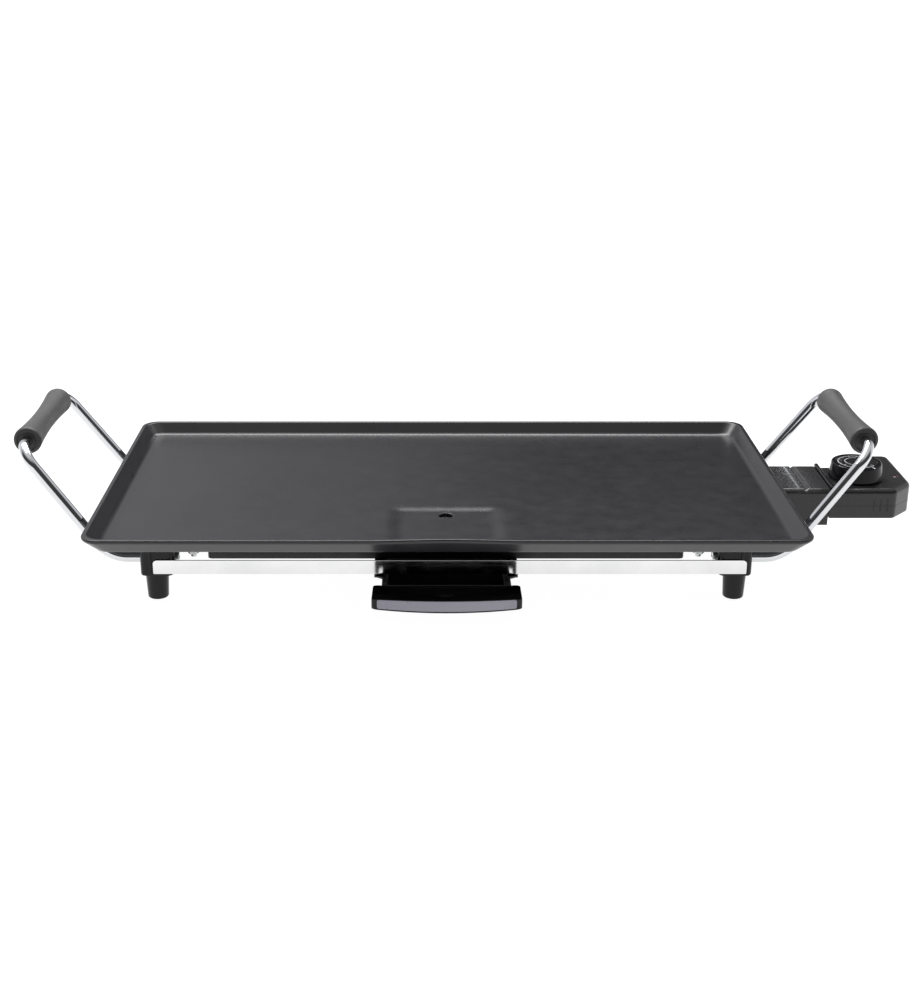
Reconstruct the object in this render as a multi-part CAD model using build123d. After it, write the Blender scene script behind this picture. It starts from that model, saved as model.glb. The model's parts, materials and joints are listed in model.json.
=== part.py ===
from build123d import *
import math
import os

# Electric table griddle: a tray-shaped cooking plate on four legs, with a carrying handle
# at each end, a drip tray below and a plug-in thermostat control on the right.
# Millimetres. X runs right, Y to the rear, Z up. The sizes below are measured from the middle
# of the cooking plate, on the table. The whole is then moved so that the origin is
# the middle of the object's footprint box.

# --- driving dimensions ---------------------------------------------------------------------
RIM_LENGTH, RIM_WIDTH = 500.0, 270.0      # cooking plate over its rim
RIM_TOP = 66.0                            # height of the rim above the table
PLATE_DEPTH = 12.0                        # rim top to underside
PLATE_FLOOR = 3.0                         # thickness under the cooking surface
WALL_SLOPE = 9.0                          # how far the outer wall leans out
RIM_CORNER = 14.0
RIM_BAND = 2.2                            # upright band along the top of the rim
FLOOR_LENGTH, FLOOR_WIDTH = 480.0, 250.0  # flat cooking surface
RIM_THICKNESS = 3.4

SUMP = (78.0, 76.0)                       # shallow dip towards the drain, at front centre
SUMP_Y = -82.0
SUMP_DEPTH = 1.3
DRAIN_Y = -60.0
DRAIN_R = 5.0

LEG_Y = 77.0                              # legs and handle rods stand in these two planes
LEG_INNER, LEG_OUTER = 195.0, 218.5       # leg block, along X
LEG_HALF_DEPTH = 10.0
LEG_STEP = 19.3                           # where the block narrows to the foot
FOOT_X = 208.0
FOOT_R, FOOT_TIP_R = 8.4, 7.4

ROD_R = 4.0
ROD_Z = 30.7                              # rod height where it enters the legs
ROD_END = 206.0
ROD_ELBOW = 240.0                         # where the rod turns up
ROD_TOP_Y = 71.5                          # the two uprights lean towards the grip
ROD_BENDS = [27.0, 16.0, 16.0, 27.0]
GRIP_X, GRIP_Z = 300.0, 109.3             # grip axis
GRIP_HALF = 51.5
GRIP_END_R, GRIP_WAIST_R = 10.0, 8.0
RUNNING = 0.05                            # radial play of a running fit

RAIL_HALF, RAIL_X = 211.5, 2.6             # the strips sit a little to the right
RAIL_LOW, RAIL_HIGH = 21.7, 32.3
RAIL_THICKNESS = 1.2
RAIL_STUD_X, RAIL_STUD_Z = 203.0, 24.2

PAN_HALF_X, PAN_HALF_Y = 172.0, 72.0      # reflector pan below the heating element
PAN_LOW, PAN_HIGH = 27.0, 50.0
SHEET = 1.0

STUD_X = 181.0
TAB_Z, TAB_SHEET = 37.0, 1.2              # leg bracket's shelf

TRAY_HALF = 45.0
TRAY_FRONT, TRAY_REAR = -107.0, 56.0
TRAY_LOW, TRAY_TOP = 6.0, 20.9
FLANGE_HALF, FLANGE_FRONT = 49.5, -92.0
HANDLE_TOP, HANDLE_LOW = 22.0, 10.8
HANDLE_REAR, HANDLE_FRONT, HANDLE_ENDS = -107.0, -132.0, -125.0
HANDLE_REAR_HALF, HANDLE_FRONT_HALF = 51.6, 53.4
TRAY_SCREW_X, TRAY_SCREW_Z = 30.0, 15.5

ELEMENT_R = 3.3
PLATE_UNDER = RIM_TOP - PLATE_DEPTH
ELEMENT_Z = PLATE_UNDER - ELEMENT_R
PIN_Y, PIN_R = 11.0, 2.5
PROBE_Z, PROBE_R = 48.9, 3.0

SHROUD_END = 285.6                        # mouth of the socket that takes the control
SHROUD_HALF = 28.2
SHROUD_FOOT = 232.0                       # where the guard's flange starts below the plate
SHROUD_GROOVE = (266.5, 269.5, 1.0)       # groove across the guard's top: from, to, depth
SHROUD_BORE = (23.2, 43.5, 61.5)          # inside of the guard: half width, floor, ceiling
SOCKET_SCREW_X, SOCKET_SCREW_Y = 243.0, 19.6
RIVET_Y, RIVET_Z = 18.0, 33.0
CONTROL_LOW, CONTROL_TOP = 41.0, 64.0
CONTROL_LEFT, CONTROL_RIGHT = 286.0, 350.0
CONTROL_FRONT, CONTROL_REAR = -28.2, 52.0
CONTROL_SHOULDER = 24.5
CONTROL_CHAMFER = (16.0, 16.7)            # front outer corner, along X and Y
CONTROL_NECK = (300.0, 312.0)             # where the plan widens behind the socket end
FRONT_ROUND, OUTER_ROUND, REAR_ROUND = 6.0, 11.0, 6.0
CONTROL_SPLIT = 51.0
CONTROL_WALL = 2.0
EDGE_ROUND = 4.0                          # upper edges of the guard and the control
KNOB_X, KNOB_R, KNOB_TAPER = 311.0, 20.2, 1.7
KNOB_LOW, KNOB_TOP = 64.5, 76.5
FLUTES = 24
SHAFT_R = 3.0
GLAND_X, GLAND_R, CORD_HOLE_R = 326.0, 6.5, 3.3
LENS_XY = (342.0, 1.0)

# The origin is the middle of the box from the left grip to the control's outer face.
REACH_LEFT = GRIP_X + GRIP_END_R
ORIGIN = Location((-(CONTROL_RIGHT - REACH_LEFT) / 2, 0, 0))


# --- helpers --------------------------------------------------------------------------------
def block(x0, x1, y0, y1, z0, z1):
    """Box between two corners."""
    return Pos((x0 + x1) / 2, (y0 + y1) / 2, (z0 + z1) / 2) * Box(
        abs(x1 - x0), abs(y1 - y0), abs(z1 - z0)
    )


def bar_x(radius, x0, x1, y, z):
    """Round bar along X."""
    return Pos((x0 + x1) / 2, y, z) * Rot(0, 90, 0) * Cylinder(radius, abs(x1 - x0))


def bar_y(radius, y0, y1, x, z):
    """Round bar along Y."""
    return Pos(x, (y0 + y1) / 2, z) * Rot(90, 0, 0) * Cylinder(radius, abs(y1 - y0))


def bar_z(radius, z0, z1, x, y):
    """Round bar along Z."""
    return Pos(x, y, (z0 + z1) / 2) * Cylinder(radius, z1 - z0)


def hexagon(across_flats, x0, x1):
    """Hexagonal prism along X, centred on the X axis."""
    outline = RegularPolygon(across_flats / 2, 6, major_radius=False)
    return Pos(x0, 0, 0) * Rot(0, 90, 0) * extrude(outline, amount=x1 - x0)


def frustum(low, high):
    """Solid between two rounded rectangles, each (length, width, corner radius, height)."""
    outlines = [Pos(0, 0, z) * RectangleRounded(a, b, r) for a, b, r, z in (low, high)]
    return loft(outlines)


def quarters(solid):
    """The solid and its mirror images about the two middle planes: one at each corner."""
    pair = [solid, mirror(solid, about=Plane.YZ)]
    return pair + [mirror(s, about=Plane.XZ) for s in pair]


def group(solids):
    """Separate solids kept as one node."""
    return Compound([one for solid in solids for one in solid.solids()])


def save(shape, node):
    """Move a sub-part to the object's own origin and write it."""
    export_step(shape.moved(ORIGIN), f"parts/{node}.step")


# --- cooking plate --------------------------------------------------------------------------
def griddle_plate():
    lean = 2 * WALL_SLOPE
    outer = frustum(
        (RIM_LENGTH - lean, RIM_WIDTH - lean, RIM_CORNER - 4, PLATE_UNDER),
        (RIM_LENGTH, RIM_WIDTH, RIM_CORNER, RIM_TOP - RIM_BAND),
    )
    outer += Pos(0, 0, RIM_TOP - RIM_BAND) * extrude(
        RectangleRounded(RIM_LENGTH, RIM_WIDTH, RIM_CORNER), amount=RIM_BAND)
    floor = PLATE_UNDER + PLATE_FLOOR
    inside = frustum(
        (FLOOR_LENGTH, FLOOR_WIDTH, RIM_CORNER - 4, floor),
        (RIM_LENGTH - 2 * RIM_THICKNESS, RIM_WIDTH - 2 * RIM_THICKNESS,
         RIM_CORNER - 2, RIM_TOP),
    )
    plate = outer - inside
    rim_edges = plate.faces().sort_by(Axis.Z)[-1].edges()
    plate = fillet(rim_edges, 1.0)
    plate = fillet(plate.faces().sort_by(Axis.Z)[0].edges(), 3.0)
    length, width = SUMP
    boss = Pos(0, SUMP_Y) * frustum(
        (length - 6, width - 6, 16, PLATE_UNDER - SUMP_DEPTH),
        (length, width, 18, PLATE_UNDER + 1),
    )
    dip = Pos(0, SUMP_Y) * frustum(
        (length - 12, width - 12, 14, floor - SUMP_DEPTH),
        (length - 4, width - 4, 17, floor + 0.2),
    )
    return plate + boss - dip - bar_z(DRAIN_R, PLATE_UNDER - 5, RIM_TOP, 0, DRAIN_Y)


def drain_spout():
    """Flanged tube under the drain hole, which leads fat down through the reflector pan."""
    top = PLATE_UNDER - SUMP_DEPTH
    low = top - 14
    spout = bar_z(7.0, low, top, 0, DRAIN_Y) + bar_z(10.0, top - 1, top, 0, DRAIN_Y)
    return spout - bar_z(DRAIN_R, low - 1, top + 1, 0, DRAIN_Y)


# --- heating --------------------------------------------------------------------------------
SHEATH_END = 246.0
RUN_X, RUN_Y = 150.0, 56.0                # the loop's long and short half-lengths


def element_route():
    """Half the route of the tube, from its rear terminal to the middle of the far end."""
    return [(SHEATH_END, PIN_Y), (RUN_X, PIN_Y), (RUN_X, RUN_Y), (-RUN_X, RUN_Y)]


def heating_element():
    rear = element_route()
    jog = [(-46, -RUN_Y), (-24, -34), (24, -34), (46, -RUN_Y)]
    front = [(x, -y) for x, y in reversed(rear)]
    points = rear + front[:1] + jog + front[1:]
    path = FilletPolyline([(x, y, ELEMENT_Z) for x, y in points], radius=10.0)
    start = Plane(origin=path @ 0, z_dir=path % 0)
    return sweep(start * Circle(ELEMENT_R), path=path)


def element_clamps():
    """Saddles that press the tube against the plate."""
    outer = ELEMENT_R + 1.3
    ring = bar_x(outer, -6, 6, 0, 0) & block(-7, 7, -9, 9, -9, 0)
    walls = block(-6, 6, -outer, outer, 0, ELEMENT_R)
    feet = block(-6, 6, -10, 10, ELEMENT_R - 1.2, ELEMENT_R)
    slot = block(-7, 7, -ELEMENT_R - 0.05, ELEMENT_R + 0.05, -0.01, ELEMENT_R + 1)
    saddle = ring + walls + feet - bar_x(ELEMENT_R + 0.05, -7, 7, 0, 0) - slot

    places = [(-100, RUN_Y), (0, RUN_Y), (100, RUN_Y), (-100, -RUN_Y), (100, -RUN_Y)]
    return group(Pos(x, y, ELEMENT_Z) * saddle for x, y in places)


PIN_END = 277.0
BACK_WALL = (251.0, 254.0)                # the socket's inner wall, along X


def terminal_pins():
    return group(bar_x(PIN_R, SHEATH_END, PIN_END, y, ELEMENT_Z) for y in (-PIN_Y, PIN_Y))


def terminal_insulators():
    """Ceramic bushes round the pins, in the socket's inner wall."""
    def bush(y):
        body = bar_x(4.5, SHEATH_END, 257.0, y, ELEMENT_Z)
        return body - bar_x(PIN_R, SHEATH_END - 1, 258.0, y, ELEMENT_Z)

    return group(bush(y) for y in (-PIN_Y, PIN_Y))


EARTH_Z = 57.6


def earth_pin():
    return bar_x(2.0, BACK_WALL[0], 273.0, 0, EARTH_Z)


def probe_boss():
    """Block on the plate's underside with the hole that the control's sensor slides into."""
    body = block(184, 226, -6, 6, PROBE_Z - 4.5, PLATE_UNDER)
    return body - bar_x(PROBE_R + 0.5, 183, 227, 0, PROBE_Z)


def reflector_pan():
    """Sheet-metal pan that hangs below the element, open at the top."""
    size = (2 * PAN_HALF_X, 2 * PAN_HALF_Y)
    outer = extrude(RectangleRounded(*size, 4.0), amount=PAN_HIGH - PAN_LOW)
    inner = extrude(RectangleRounded(size[0] - 2 * SHEET, size[1] - 2 * SHEET, 3.0),
                    amount=PAN_HIGH)
    pan = Pos(0, 0, PAN_LOW) * outer - Pos(0, 0, PAN_LOW + SHEET) * inner
    lead_notch = block(PAN_HALF_X - 5, PAN_HALF_X + 5, -18, 18, 42, PAN_HIGH + 1)
    drain = bar_z(10.0, PAN_LOW - 1, PAN_LOW + 2, 0, DRAIN_Y)
    return pan - lead_notch - drain


# --- legs, brackets and fasteners -------------------------------------------------------------
def front_right_leg():
    front, back = -LEG_Y - LEG_HALF_DEPTH, -LEG_Y + LEG_HALF_DEPTH
    upper = block(LEG_INNER, LEG_OUTER, front, back, LEG_STEP, PLATE_UNDER)
    outer_uprights = upper.edges().filter_by(Axis.Z).sort_by(Axis.X)[-2:]
    upper = fillet(outer_uprights, 5.0)
    low_outer = upper.faces().sort_by(Axis.Z)[0].edges().sort_by(Axis.X)[-1]
    upper = fillet(low_outer, 2.0)
    foot = loft([Pos(FOOT_X, -LEG_Y, 0) * Circle(FOOT_TIP_R),
                 Pos(FOOT_X, -LEG_Y, LEG_STEP) * Circle(FOOT_R)])
    foot = fillet(foot.faces().sort_by(Axis.Z)[0].edges(), 1.2)
    leg = upper + foot
    leg -= bar_x(ROD_R + 0.04, ROD_END, LEG_OUTER + 1, -LEG_Y, ROD_Z)
    leg -= bar_x(2.1, LEG_INNER - 1, ROD_END + 1, -LEG_Y, ROD_Z)
    leg -= bar_y(1.6, front - 1, back + 1, RAIL_STUD_X, RAIL_STUD_Z)
    return leg


def leg_brackets():
    """Bent strips that tie each leg to a plate stud and to the reflector pan."""
    leg_flange = block(LEG_INNER - TAB_SHEET, LEG_INNER, -84, -60, 24, TAB_Z + TAB_SHEET)
    shelf = block(PAN_HALF_X, LEG_INNER, -84, -60, TAB_Z, TAB_Z + TAB_SHEET)
    pan_flange = block(PAN_HALF_X, PAN_HALF_X + TAB_SHEET, -84, -60, TAB_Z, 48)
    bracket = leg_flange + shelf + pan_flange
    bracket -= bar_z(2.1, TAB_Z - 1, TAB_Z + 3, STUD_X, -LEG_Y)
    bracket -= bar_x(2.1, LEG_INNER - 3, LEG_INNER + 1, -LEG_Y, ROD_Z)
    return group(quarters(bracket))


def leg_screws():
    """Pan-head screws through the bracket and leg into the rod's threaded end."""
    head_x = LEG_INNER - TAB_SHEET
    head = bar_x(3.8, head_x - 2.6, head_x, -LEG_Y, ROD_Z)
    head = fillet(head.faces().sort_by(Axis.X)[0].edges(), 1.2)
    slot = block(head_x - 3, head_x - 1.6, -LEG_Y - 4, -LEG_Y + 4, ROD_Z - 0.5, ROD_Z + 0.5)
    return group(quarters(head - slot + bar_x(2.0, head_x, ROD_END + 7, -LEG_Y, ROD_Z)))


def plate_studs():
    stud = bar_z(2.0, 31.0, PLATE_UNDER, STUD_X, -LEG_Y)
    stud = chamfer(stud.faces().sort_by(Axis.Z)[0].edges(), 0.5)
    return group(quarters(stud))


def stud_spacers():
    top = TAB_Z + TAB_SHEET
    sleeve = bar_z(4.5, top, PLATE_UNDER, STUD_X, -LEG_Y)
    return group(quarters(sleeve - bar_z(2.04, top - 1, PLATE_UNDER + 1, STUD_X, -LEG_Y)))


def stud_nuts():
    nut = Pos(STUD_X, -LEG_Y, TAB_Z) * Rot(0, 90, 0) * hexagon(7.0, 0, 3.2)
    return group(quarters(nut - bar_z(2.02, TAB_Z - 4, TAB_Z + 1, STUD_X, -LEG_Y)))


# --- carrying handles -------------------------------------------------------------------------
def right_rod():
    """Chromed bar: out of the front leg, up, along through the grip, down into the rear leg."""
    front = [(ROD_END, -LEG_Y, ROD_Z), (ROD_ELBOW, -LEG_Y, ROD_Z), (GRIP_X, -ROD_TOP_Y, GRIP_Z)]
    rear = [(x, -y, z) for x, y, z in reversed(front)]
    path = FilletPolyline(front + rear, radius=ROD_BENDS)
    start = Plane(origin=path @ 0, z_dir=path % 0)
    rod = sweep(start * Circle(ROD_R), path=path)
    for y in (-LEG_Y, LEG_Y):
        rod -= bar_x(2.02, ROD_END - 1, ROD_END + 9, y, ROD_Z)
    return rod


def right_grip():
    """Hourglass sleeve with a dished end round the bar."""
    bore = ROD_R + RUNNING
    end = GRIP_HALF
    shoulder = end - 4.0
    with BuildSketch() as outline:
        with BuildLine():
            Polyline([(0, bore), (end - 2.5, bore), (end - 2.5, 6.2), (end, 7.2)])
            ThreePointArc((end, 7.2), (end - 1.1, GRIP_END_R - 0.8), (shoulder, GRIP_END_R))
            Spline((shoulder, GRIP_END_R), (end * 0.5, 8.55), (0, GRIP_WAIST_R),
                   tangents=[(-1, -0.08), (-1, 0)])
            Line((0, GRIP_WAIST_R), (0, bore))
        make_face()
    half = revolve(outline.sketch, axis=Axis.X)
    grip = half + mirror(half, about=Plane.YZ)
    return Pos(GRIP_X, 0, GRIP_Z) * Rot(0, 0, 90) * grip


# --- rails --------------------------------------------------------------------------------------
def front_rail():
    """Bright flat strip across the front legs, with a welded stud near each end."""
    inner = -LEG_Y - LEG_HALF_DEPTH
    strip = block(RAIL_X - RAIL_HALF, RAIL_X + RAIL_HALF, inner - RAIL_THICKNESS, inner, RAIL_LOW, RAIL_HIGH)
    top_corners = strip.edges().filter_by(Axis.Y).group_by(Axis.Z)[-1]
    strip = fillet(top_corners, 3.0)
    for x in (-RAIL_STUD_X, RAIL_STUD_X):
        strip += bar_y(1.5, inner, inner + 2 * LEG_HALF_DEPTH + 3.4, x, RAIL_STUD_Z)
    return strip


def rail_nuts():
    start = -LEG_Y + LEG_HALF_DEPTH
    nut = Pos(RAIL_STUD_X, start, RAIL_STUD_Z) * Rot(0, 0, 90) * hexagon(5.5, 0, 2.4)
    nut -= bar_y(1.52, start - 1, start + 4, RAIL_STUD_X, RAIL_STUD_Z)
    return group(quarters(nut))


# --- drip tray ------------------------------------------------------------------------------------
GUIDE_INNER, GUIDE_OUTER = 46.8, 51.3
GUIDE_GAP = 0.3


def right_tray_guide():
    """Channel between the two rails that holds the tray's flange."""
    end = LEG_Y + LEG_HALF_DEPTH
    under = TRAY_TOP - SHEET - GUIDE_GAP
    over = TRAY_TOP + GUIDE_GAP
    guide = block(GUIDE_OUTER - SHEET, GUIDE_OUTER, -end, end, under - SHEET, 26.5)
    guide += block(GUIDE_INNER, GUIDE_OUTER, -end, end, under - SHEET, under)
    guide += block(GUIDE_INNER, GUIDE_OUTER, -end, end, over, over + SHEET)
    guide += block(GUIDE_INNER, GUIDE_OUTER, TRAY_REAR + 0.8, TRAY_REAR + 2.2, under, over)
    for y in (-end, end - SHEET):
        guide += block(GUIDE_OUTER, GUIDE_OUTER + 11, y, y + SHEET, RAIL_LOW + 1, 26.5)
    return guide


def drip_tray():
    depth = TRAY_TOP - TRAY_LOW
    middle = (TRAY_FRONT + TRAY_REAR) / 2
    length = TRAY_REAR - TRAY_FRONT
    bowl = block(-TRAY_HALF, TRAY_HALF, TRAY_FRONT, TRAY_REAR, TRAY_LOW, TRAY_TOP)
    bowl = fillet(bowl.edges().filter_by(Axis.Z), 6.0)
    bowl = fillet(bowl.faces().sort_by(Axis.Z)[0].edges(), 3.0)
    inside = Pos(0, middle, TRAY_LOW + SHEET) * extrude(
        RectangleRounded(2 * TRAY_HALF - 2 * SHEET, length - 2 * SHEET, 5.0), amount=depth)
    flange = block(-FLANGE_HALF, FLANGE_HALF, FLANGE_FRONT, TRAY_REAR,
                   TRAY_TOP - SHEET, TRAY_TOP)
    tray = bowl + flange - inside
    for x in (-TRAY_SCREW_X, TRAY_SCREW_X):
        tray -= bar_y(1.55, TRAY_FRONT - 1, TRAY_FRONT + 2, x, TRAY_SCREW_Z)
    return tray


def handle_outline(inset):
    """Plan of the tray handle: a straight back, slightly flared sides and a bowed front."""
    rear, front, ends = HANDLE_REAR - inset, HANDLE_FRONT + inset, HANDLE_ENDS + inset / 2
    rear_half, front_half = HANDLE_REAR_HALF - inset, HANDLE_FRONT_HALF - inset
    with BuildSketch() as plan:
        with BuildLine():
            Line((-rear_half, rear), (rear_half, rear))
            Line((rear_half, rear), (front_half, ends))
            ThreePointArc((front_half, ends), (0, front), (-front_half, ends))
            Line((-front_half, ends), (-rear_half, rear))
        make_face()
    return plan.sketch


INSERT_HALF, INSERT_DEPTH = 48.4, 0.8
INSERT_LOW, INSERT_HIGH = 11.9, 20.4


def insert_band(depth):
    """The stretch of the handle's front face that holds the insert, this deep."""
    height = INSERT_HIGH - INSERT_LOW
    band = extrude(handle_outline(0) - handle_outline(0).moved(Location((0, depth, 0))),
                   amount=height)
    span = block(-INSERT_HALF, INSERT_HALF, HANDLE_FRONT - 5, HANDLE_ENDS + 3, 0, height)
    return Pos(0, 0, INSERT_LOW) * (band & span)


BOSS_FRONT = HANDLE_REAR - 13
RECESS_TOP = 19.2                         # ceiling of the handle's hollow
OPEN_FROM = 44.0                          # beyond this |X| the handle has no rear wall


def tray_handle():
    handle = Pos(0, 0, HANDLE_LOW) * extrude(handle_outline(0),
                                             amount=HANDLE_TOP - HANDLE_LOW)
    handle = fillet(handle.edges().filter_by(Axis.Z), 4.0)
    handle = fillet(handle.faces().sort_by(Axis.Z)[-1].edges(), 1.4)
    low = HANDLE_LOW - 1
    handle -= Pos(0, 0, low) * extrude(handle_outline(2.6), amount=RECESS_TOP - low)
    for side in (-1, 1):
        handle -= block(side * OPEN_FROM, side * (HANDLE_FRONT_HALF + 1),
                        HANDLE_REAR - 6, HANDLE_REAR + 1, low, RECESS_TOP)
    for x in (-TRAY_SCREW_X, TRAY_SCREW_X):
        handle += block(x - 4, x + 4, BOSS_FRONT, HANDLE_REAR, HANDLE_LOW + 1, HANDLE_TOP - 1.5)
        handle -= bar_y(1.5, BOSS_FRONT + 1, HANDLE_REAR + 1, x, TRAY_SCREW_Z)
    return handle - insert_band(INSERT_DEPTH)


def tray_handle_insert():
    return insert_band(INSERT_DEPTH)


def tray_handle_screws():
    def screw(x):
        seat = TRAY_FRONT + SHEET
        return (bar_y(3.0, seat, seat + 1.6, x, TRAY_SCREW_Z)
                + bar_y(1.48, BOSS_FRONT + 2, seat, x, TRAY_SCREW_Z))

    return group(screw(x) for x in (-TRAY_SCREW_X, TRAY_SCREW_X))


# --- socket ------------------------------------------------------------------------------------
def socket_shroud():
    """Moulded guard round the terminal pins; its mouth takes the control's nose."""
    gap = 0.5
    foot = SHROUD_FOOT
    rim_x = RIM_LENGTH / 2 + gap
    knee = RIM_LENGTH / 2 - WALL_SLOPE + 2 * gap
    side = Polyline((foot, CONTROL_LOW), (SHROUD_END, CONTROL_LOW),
                    (SHROUD_END, CONTROL_TOP), (rim_x, CONTROL_TOP),
                    (rim_x, CONTROL_TOP - 1), (knee, PLATE_UNDER - gap),
                    (foot, PLATE_UNDER - gap), close=True)
    profile = Plane.XZ * make_face(side)
    body = extrude(profile, amount=SHROUD_HALF, both=True)
    body = fillet(body.edges().filter_by(Axis.X).group_by(Axis.Z)[-1], EDGE_ROUND)
    wide, floor, ceiling = SHROUD_BORE
    body -= block(BACK_WALL[1], SHROUD_END + 1, -wide, wide, floor, ceiling)
    body -= block(foot - 1, BACK_WALL[0], -wide, wide, floor, PLATE_UNDER + 2)
    start, stop, deep = SHROUD_GROOVE
    body -= block(start, stop, -SHROUD_HALF, SHROUD_HALF, CONTROL_TOP - deep, CONTROL_TOP + 1)
    for y in (-SOCKET_SCREW_Y, SOCKET_SCREW_Y):
        body += bar_z(3.4, 43, 50, SOCKET_SCREW_X, y)
        body -= bar_z(1.74, 40, 49, SOCKET_SCREW_X, y)
    for y in (-PIN_Y, PIN_Y):
        body -= bar_x(4.54, BACK_WALL[0] - 1, BACK_WALL[1] + 1, y, ELEMENT_Z)
    body -= bar_x(PROBE_R + 0.7, BACK_WALL[0] - 1, BACK_WALL[1] + 1, 0, PROBE_Z)
    return body - bar_x(2.02, BACK_WALL[0] - 1, BACK_WALL[1] + 1, 0, EARTH_Z)


def socket_bracket():
    """Black steel arm from the reflector pan that carries the socket."""
    wing, top = 27.0, CONTROL_LOW
    arm = block(PAN_HALF_X, SHROUD_END, -wing, wing, top - TAB_SHEET, top)
    arm += block(PAN_HALF_X, PAN_HALF_X + TAB_SHEET, -wing, wing, 29, top)
    for y in (-wing, wing - TAB_SHEET):
        arm += block(190, SHROUD_END, y, y + TAB_SHEET, 35.5, top)
    for y in (-SOCKET_SCREW_Y, SOCKET_SCREW_Y):
        arm -= bar_z(1.8, top - 3, top + 1, SOCKET_SCREW_X, y)
    for y in (-RIVET_Y, RIVET_Y):
        arm -= bar_x(1.62, PAN_HALF_X - 1, PAN_HALF_X + 3, y, RIVET_Z)
    return arm


def bracket_rivets():
    """Rivets through the bracket's flange, with their closed heads inside the pan."""
    def rivet(y):
        seat = PAN_HALF_X + TAB_SHEET
        return (bar_x(3.0, seat, seat + 1.2, y, RIVET_Z)
                + bar_x(1.6, PAN_HALF_X, seat, y, RIVET_Z))

    return group(rivet(y) for y in (-RIVET_Y, RIVET_Y))


def socket_screws():
    def screw(y):
        seat = CONTROL_LOW - TAB_SHEET
        return (bar_z(3.0, seat - 2, seat, SOCKET_SCREW_X, y)
                + bar_z(1.7, seat, 48.5, SOCKET_SCREW_X, y))

    return group(screw(y) for y in (-SOCKET_SCREW_Y, SOCKET_SCREW_Y))


# --- thermostat control ---------------------------------------------------------------------------
def control_outline(inset):
    """Plan of the control: chamfered front corner, rounded rear, narrower at the socket."""
    left, right = CONTROL_LEFT + inset, CONTROL_RIGHT - inset
    front, rear = CONTROL_FRONT + inset, CONTROL_REAR - inset
    shoulder = CONTROL_SHOULDER - inset
    bevel_x = CONTROL_RIGHT - CONTROL_CHAMFER[0]
    bevel_y = CONTROL_FRONT + CONTROL_CHAMFER[1]
    plan = make_face(Polyline(
        (left, front), (bevel_x, front), (right, bevel_y + inset / 2), (right, rear),
        (CONTROL_NECK[1] + inset, rear), (CONTROL_NECK[0] + inset, shoulder),
        (left, shoulder), close=True))
    rear_corner = plan.vertices().sort_by(lambda v: -(v.X + v.Y))[0]
    plan = fillet(rear_corner, REAR_ROUND - inset)
    outer_corner = plan.vertices().filter_by(lambda v: v.Y < 0 and v.X > CONTROL_RIGHT - 5)
    plan = fillet(outer_corner, OUTER_ROUND - inset)
    front_corner = plan.vertices().filter_by(
        lambda v: v.Y < CONTROL_FRONT + 5 and abs(v.X - bevel_x) < 1)
    return fillet(front_corner, FRONT_ROUND - inset)


GRIP_GROOVES = (318.7, 323.7, 328.7)      # upright grooves in the front wall
GROOVE_HALF, GROOVE_DEPTH = 0.5, 0.6
RIB_HALF, RIB_TOP = 27.0, 66.0            # raised rib across the control's socket end
SCREW_POSTS = [(294.0, -20.5), (294.0, 18.8), (341.0, 34.0)]
GROOVE_LOW, GROOVE_HIGH = 47.2, 57.8


def control_lower_housing():
    depth = CONTROL_SPLIT - CONTROL_LOW
    shell = Pos(0, 0, CONTROL_LOW) * extrude(control_outline(0), amount=depth)
    shell = fillet(shell.faces().sort_by(Axis.Z)[0].edges(), 1.2)
    shell -= Pos(0, 0, CONTROL_LOW + CONTROL_WALL) * extrude(
        control_outline(CONTROL_WALL), amount=depth)
    for x, y in SCREW_POSTS:
        shell += bar_z(3.4, CONTROL_LOW + 1, CONTROL_SPLIT, x, y)
        shell -= bar_z(1.8, CONTROL_LOW - 1, CONTROL_SPLIT + 1, x, y)
        shell -= bar_z(3.1, CONTROL_LOW - 1, CONTROL_LOW + 2.2, x, y)
    shell -= nose_envelope(0.1)
    for x in GRIP_GROOVES:
        shell -= block(x - GROOVE_HALF, x + GROOVE_HALF, CONTROL_FRONT - 1,
                       CONTROL_FRONT + GROOVE_DEPTH,
                       GROOVE_LOW, CONTROL_SPLIT + 1)
    return shell - bar_y(GLAND_R + 0.04, CONTROL_REAR - 6, CONTROL_REAR + 1,
                         GLAND_X, CONTROL_SPLIT)


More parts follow.
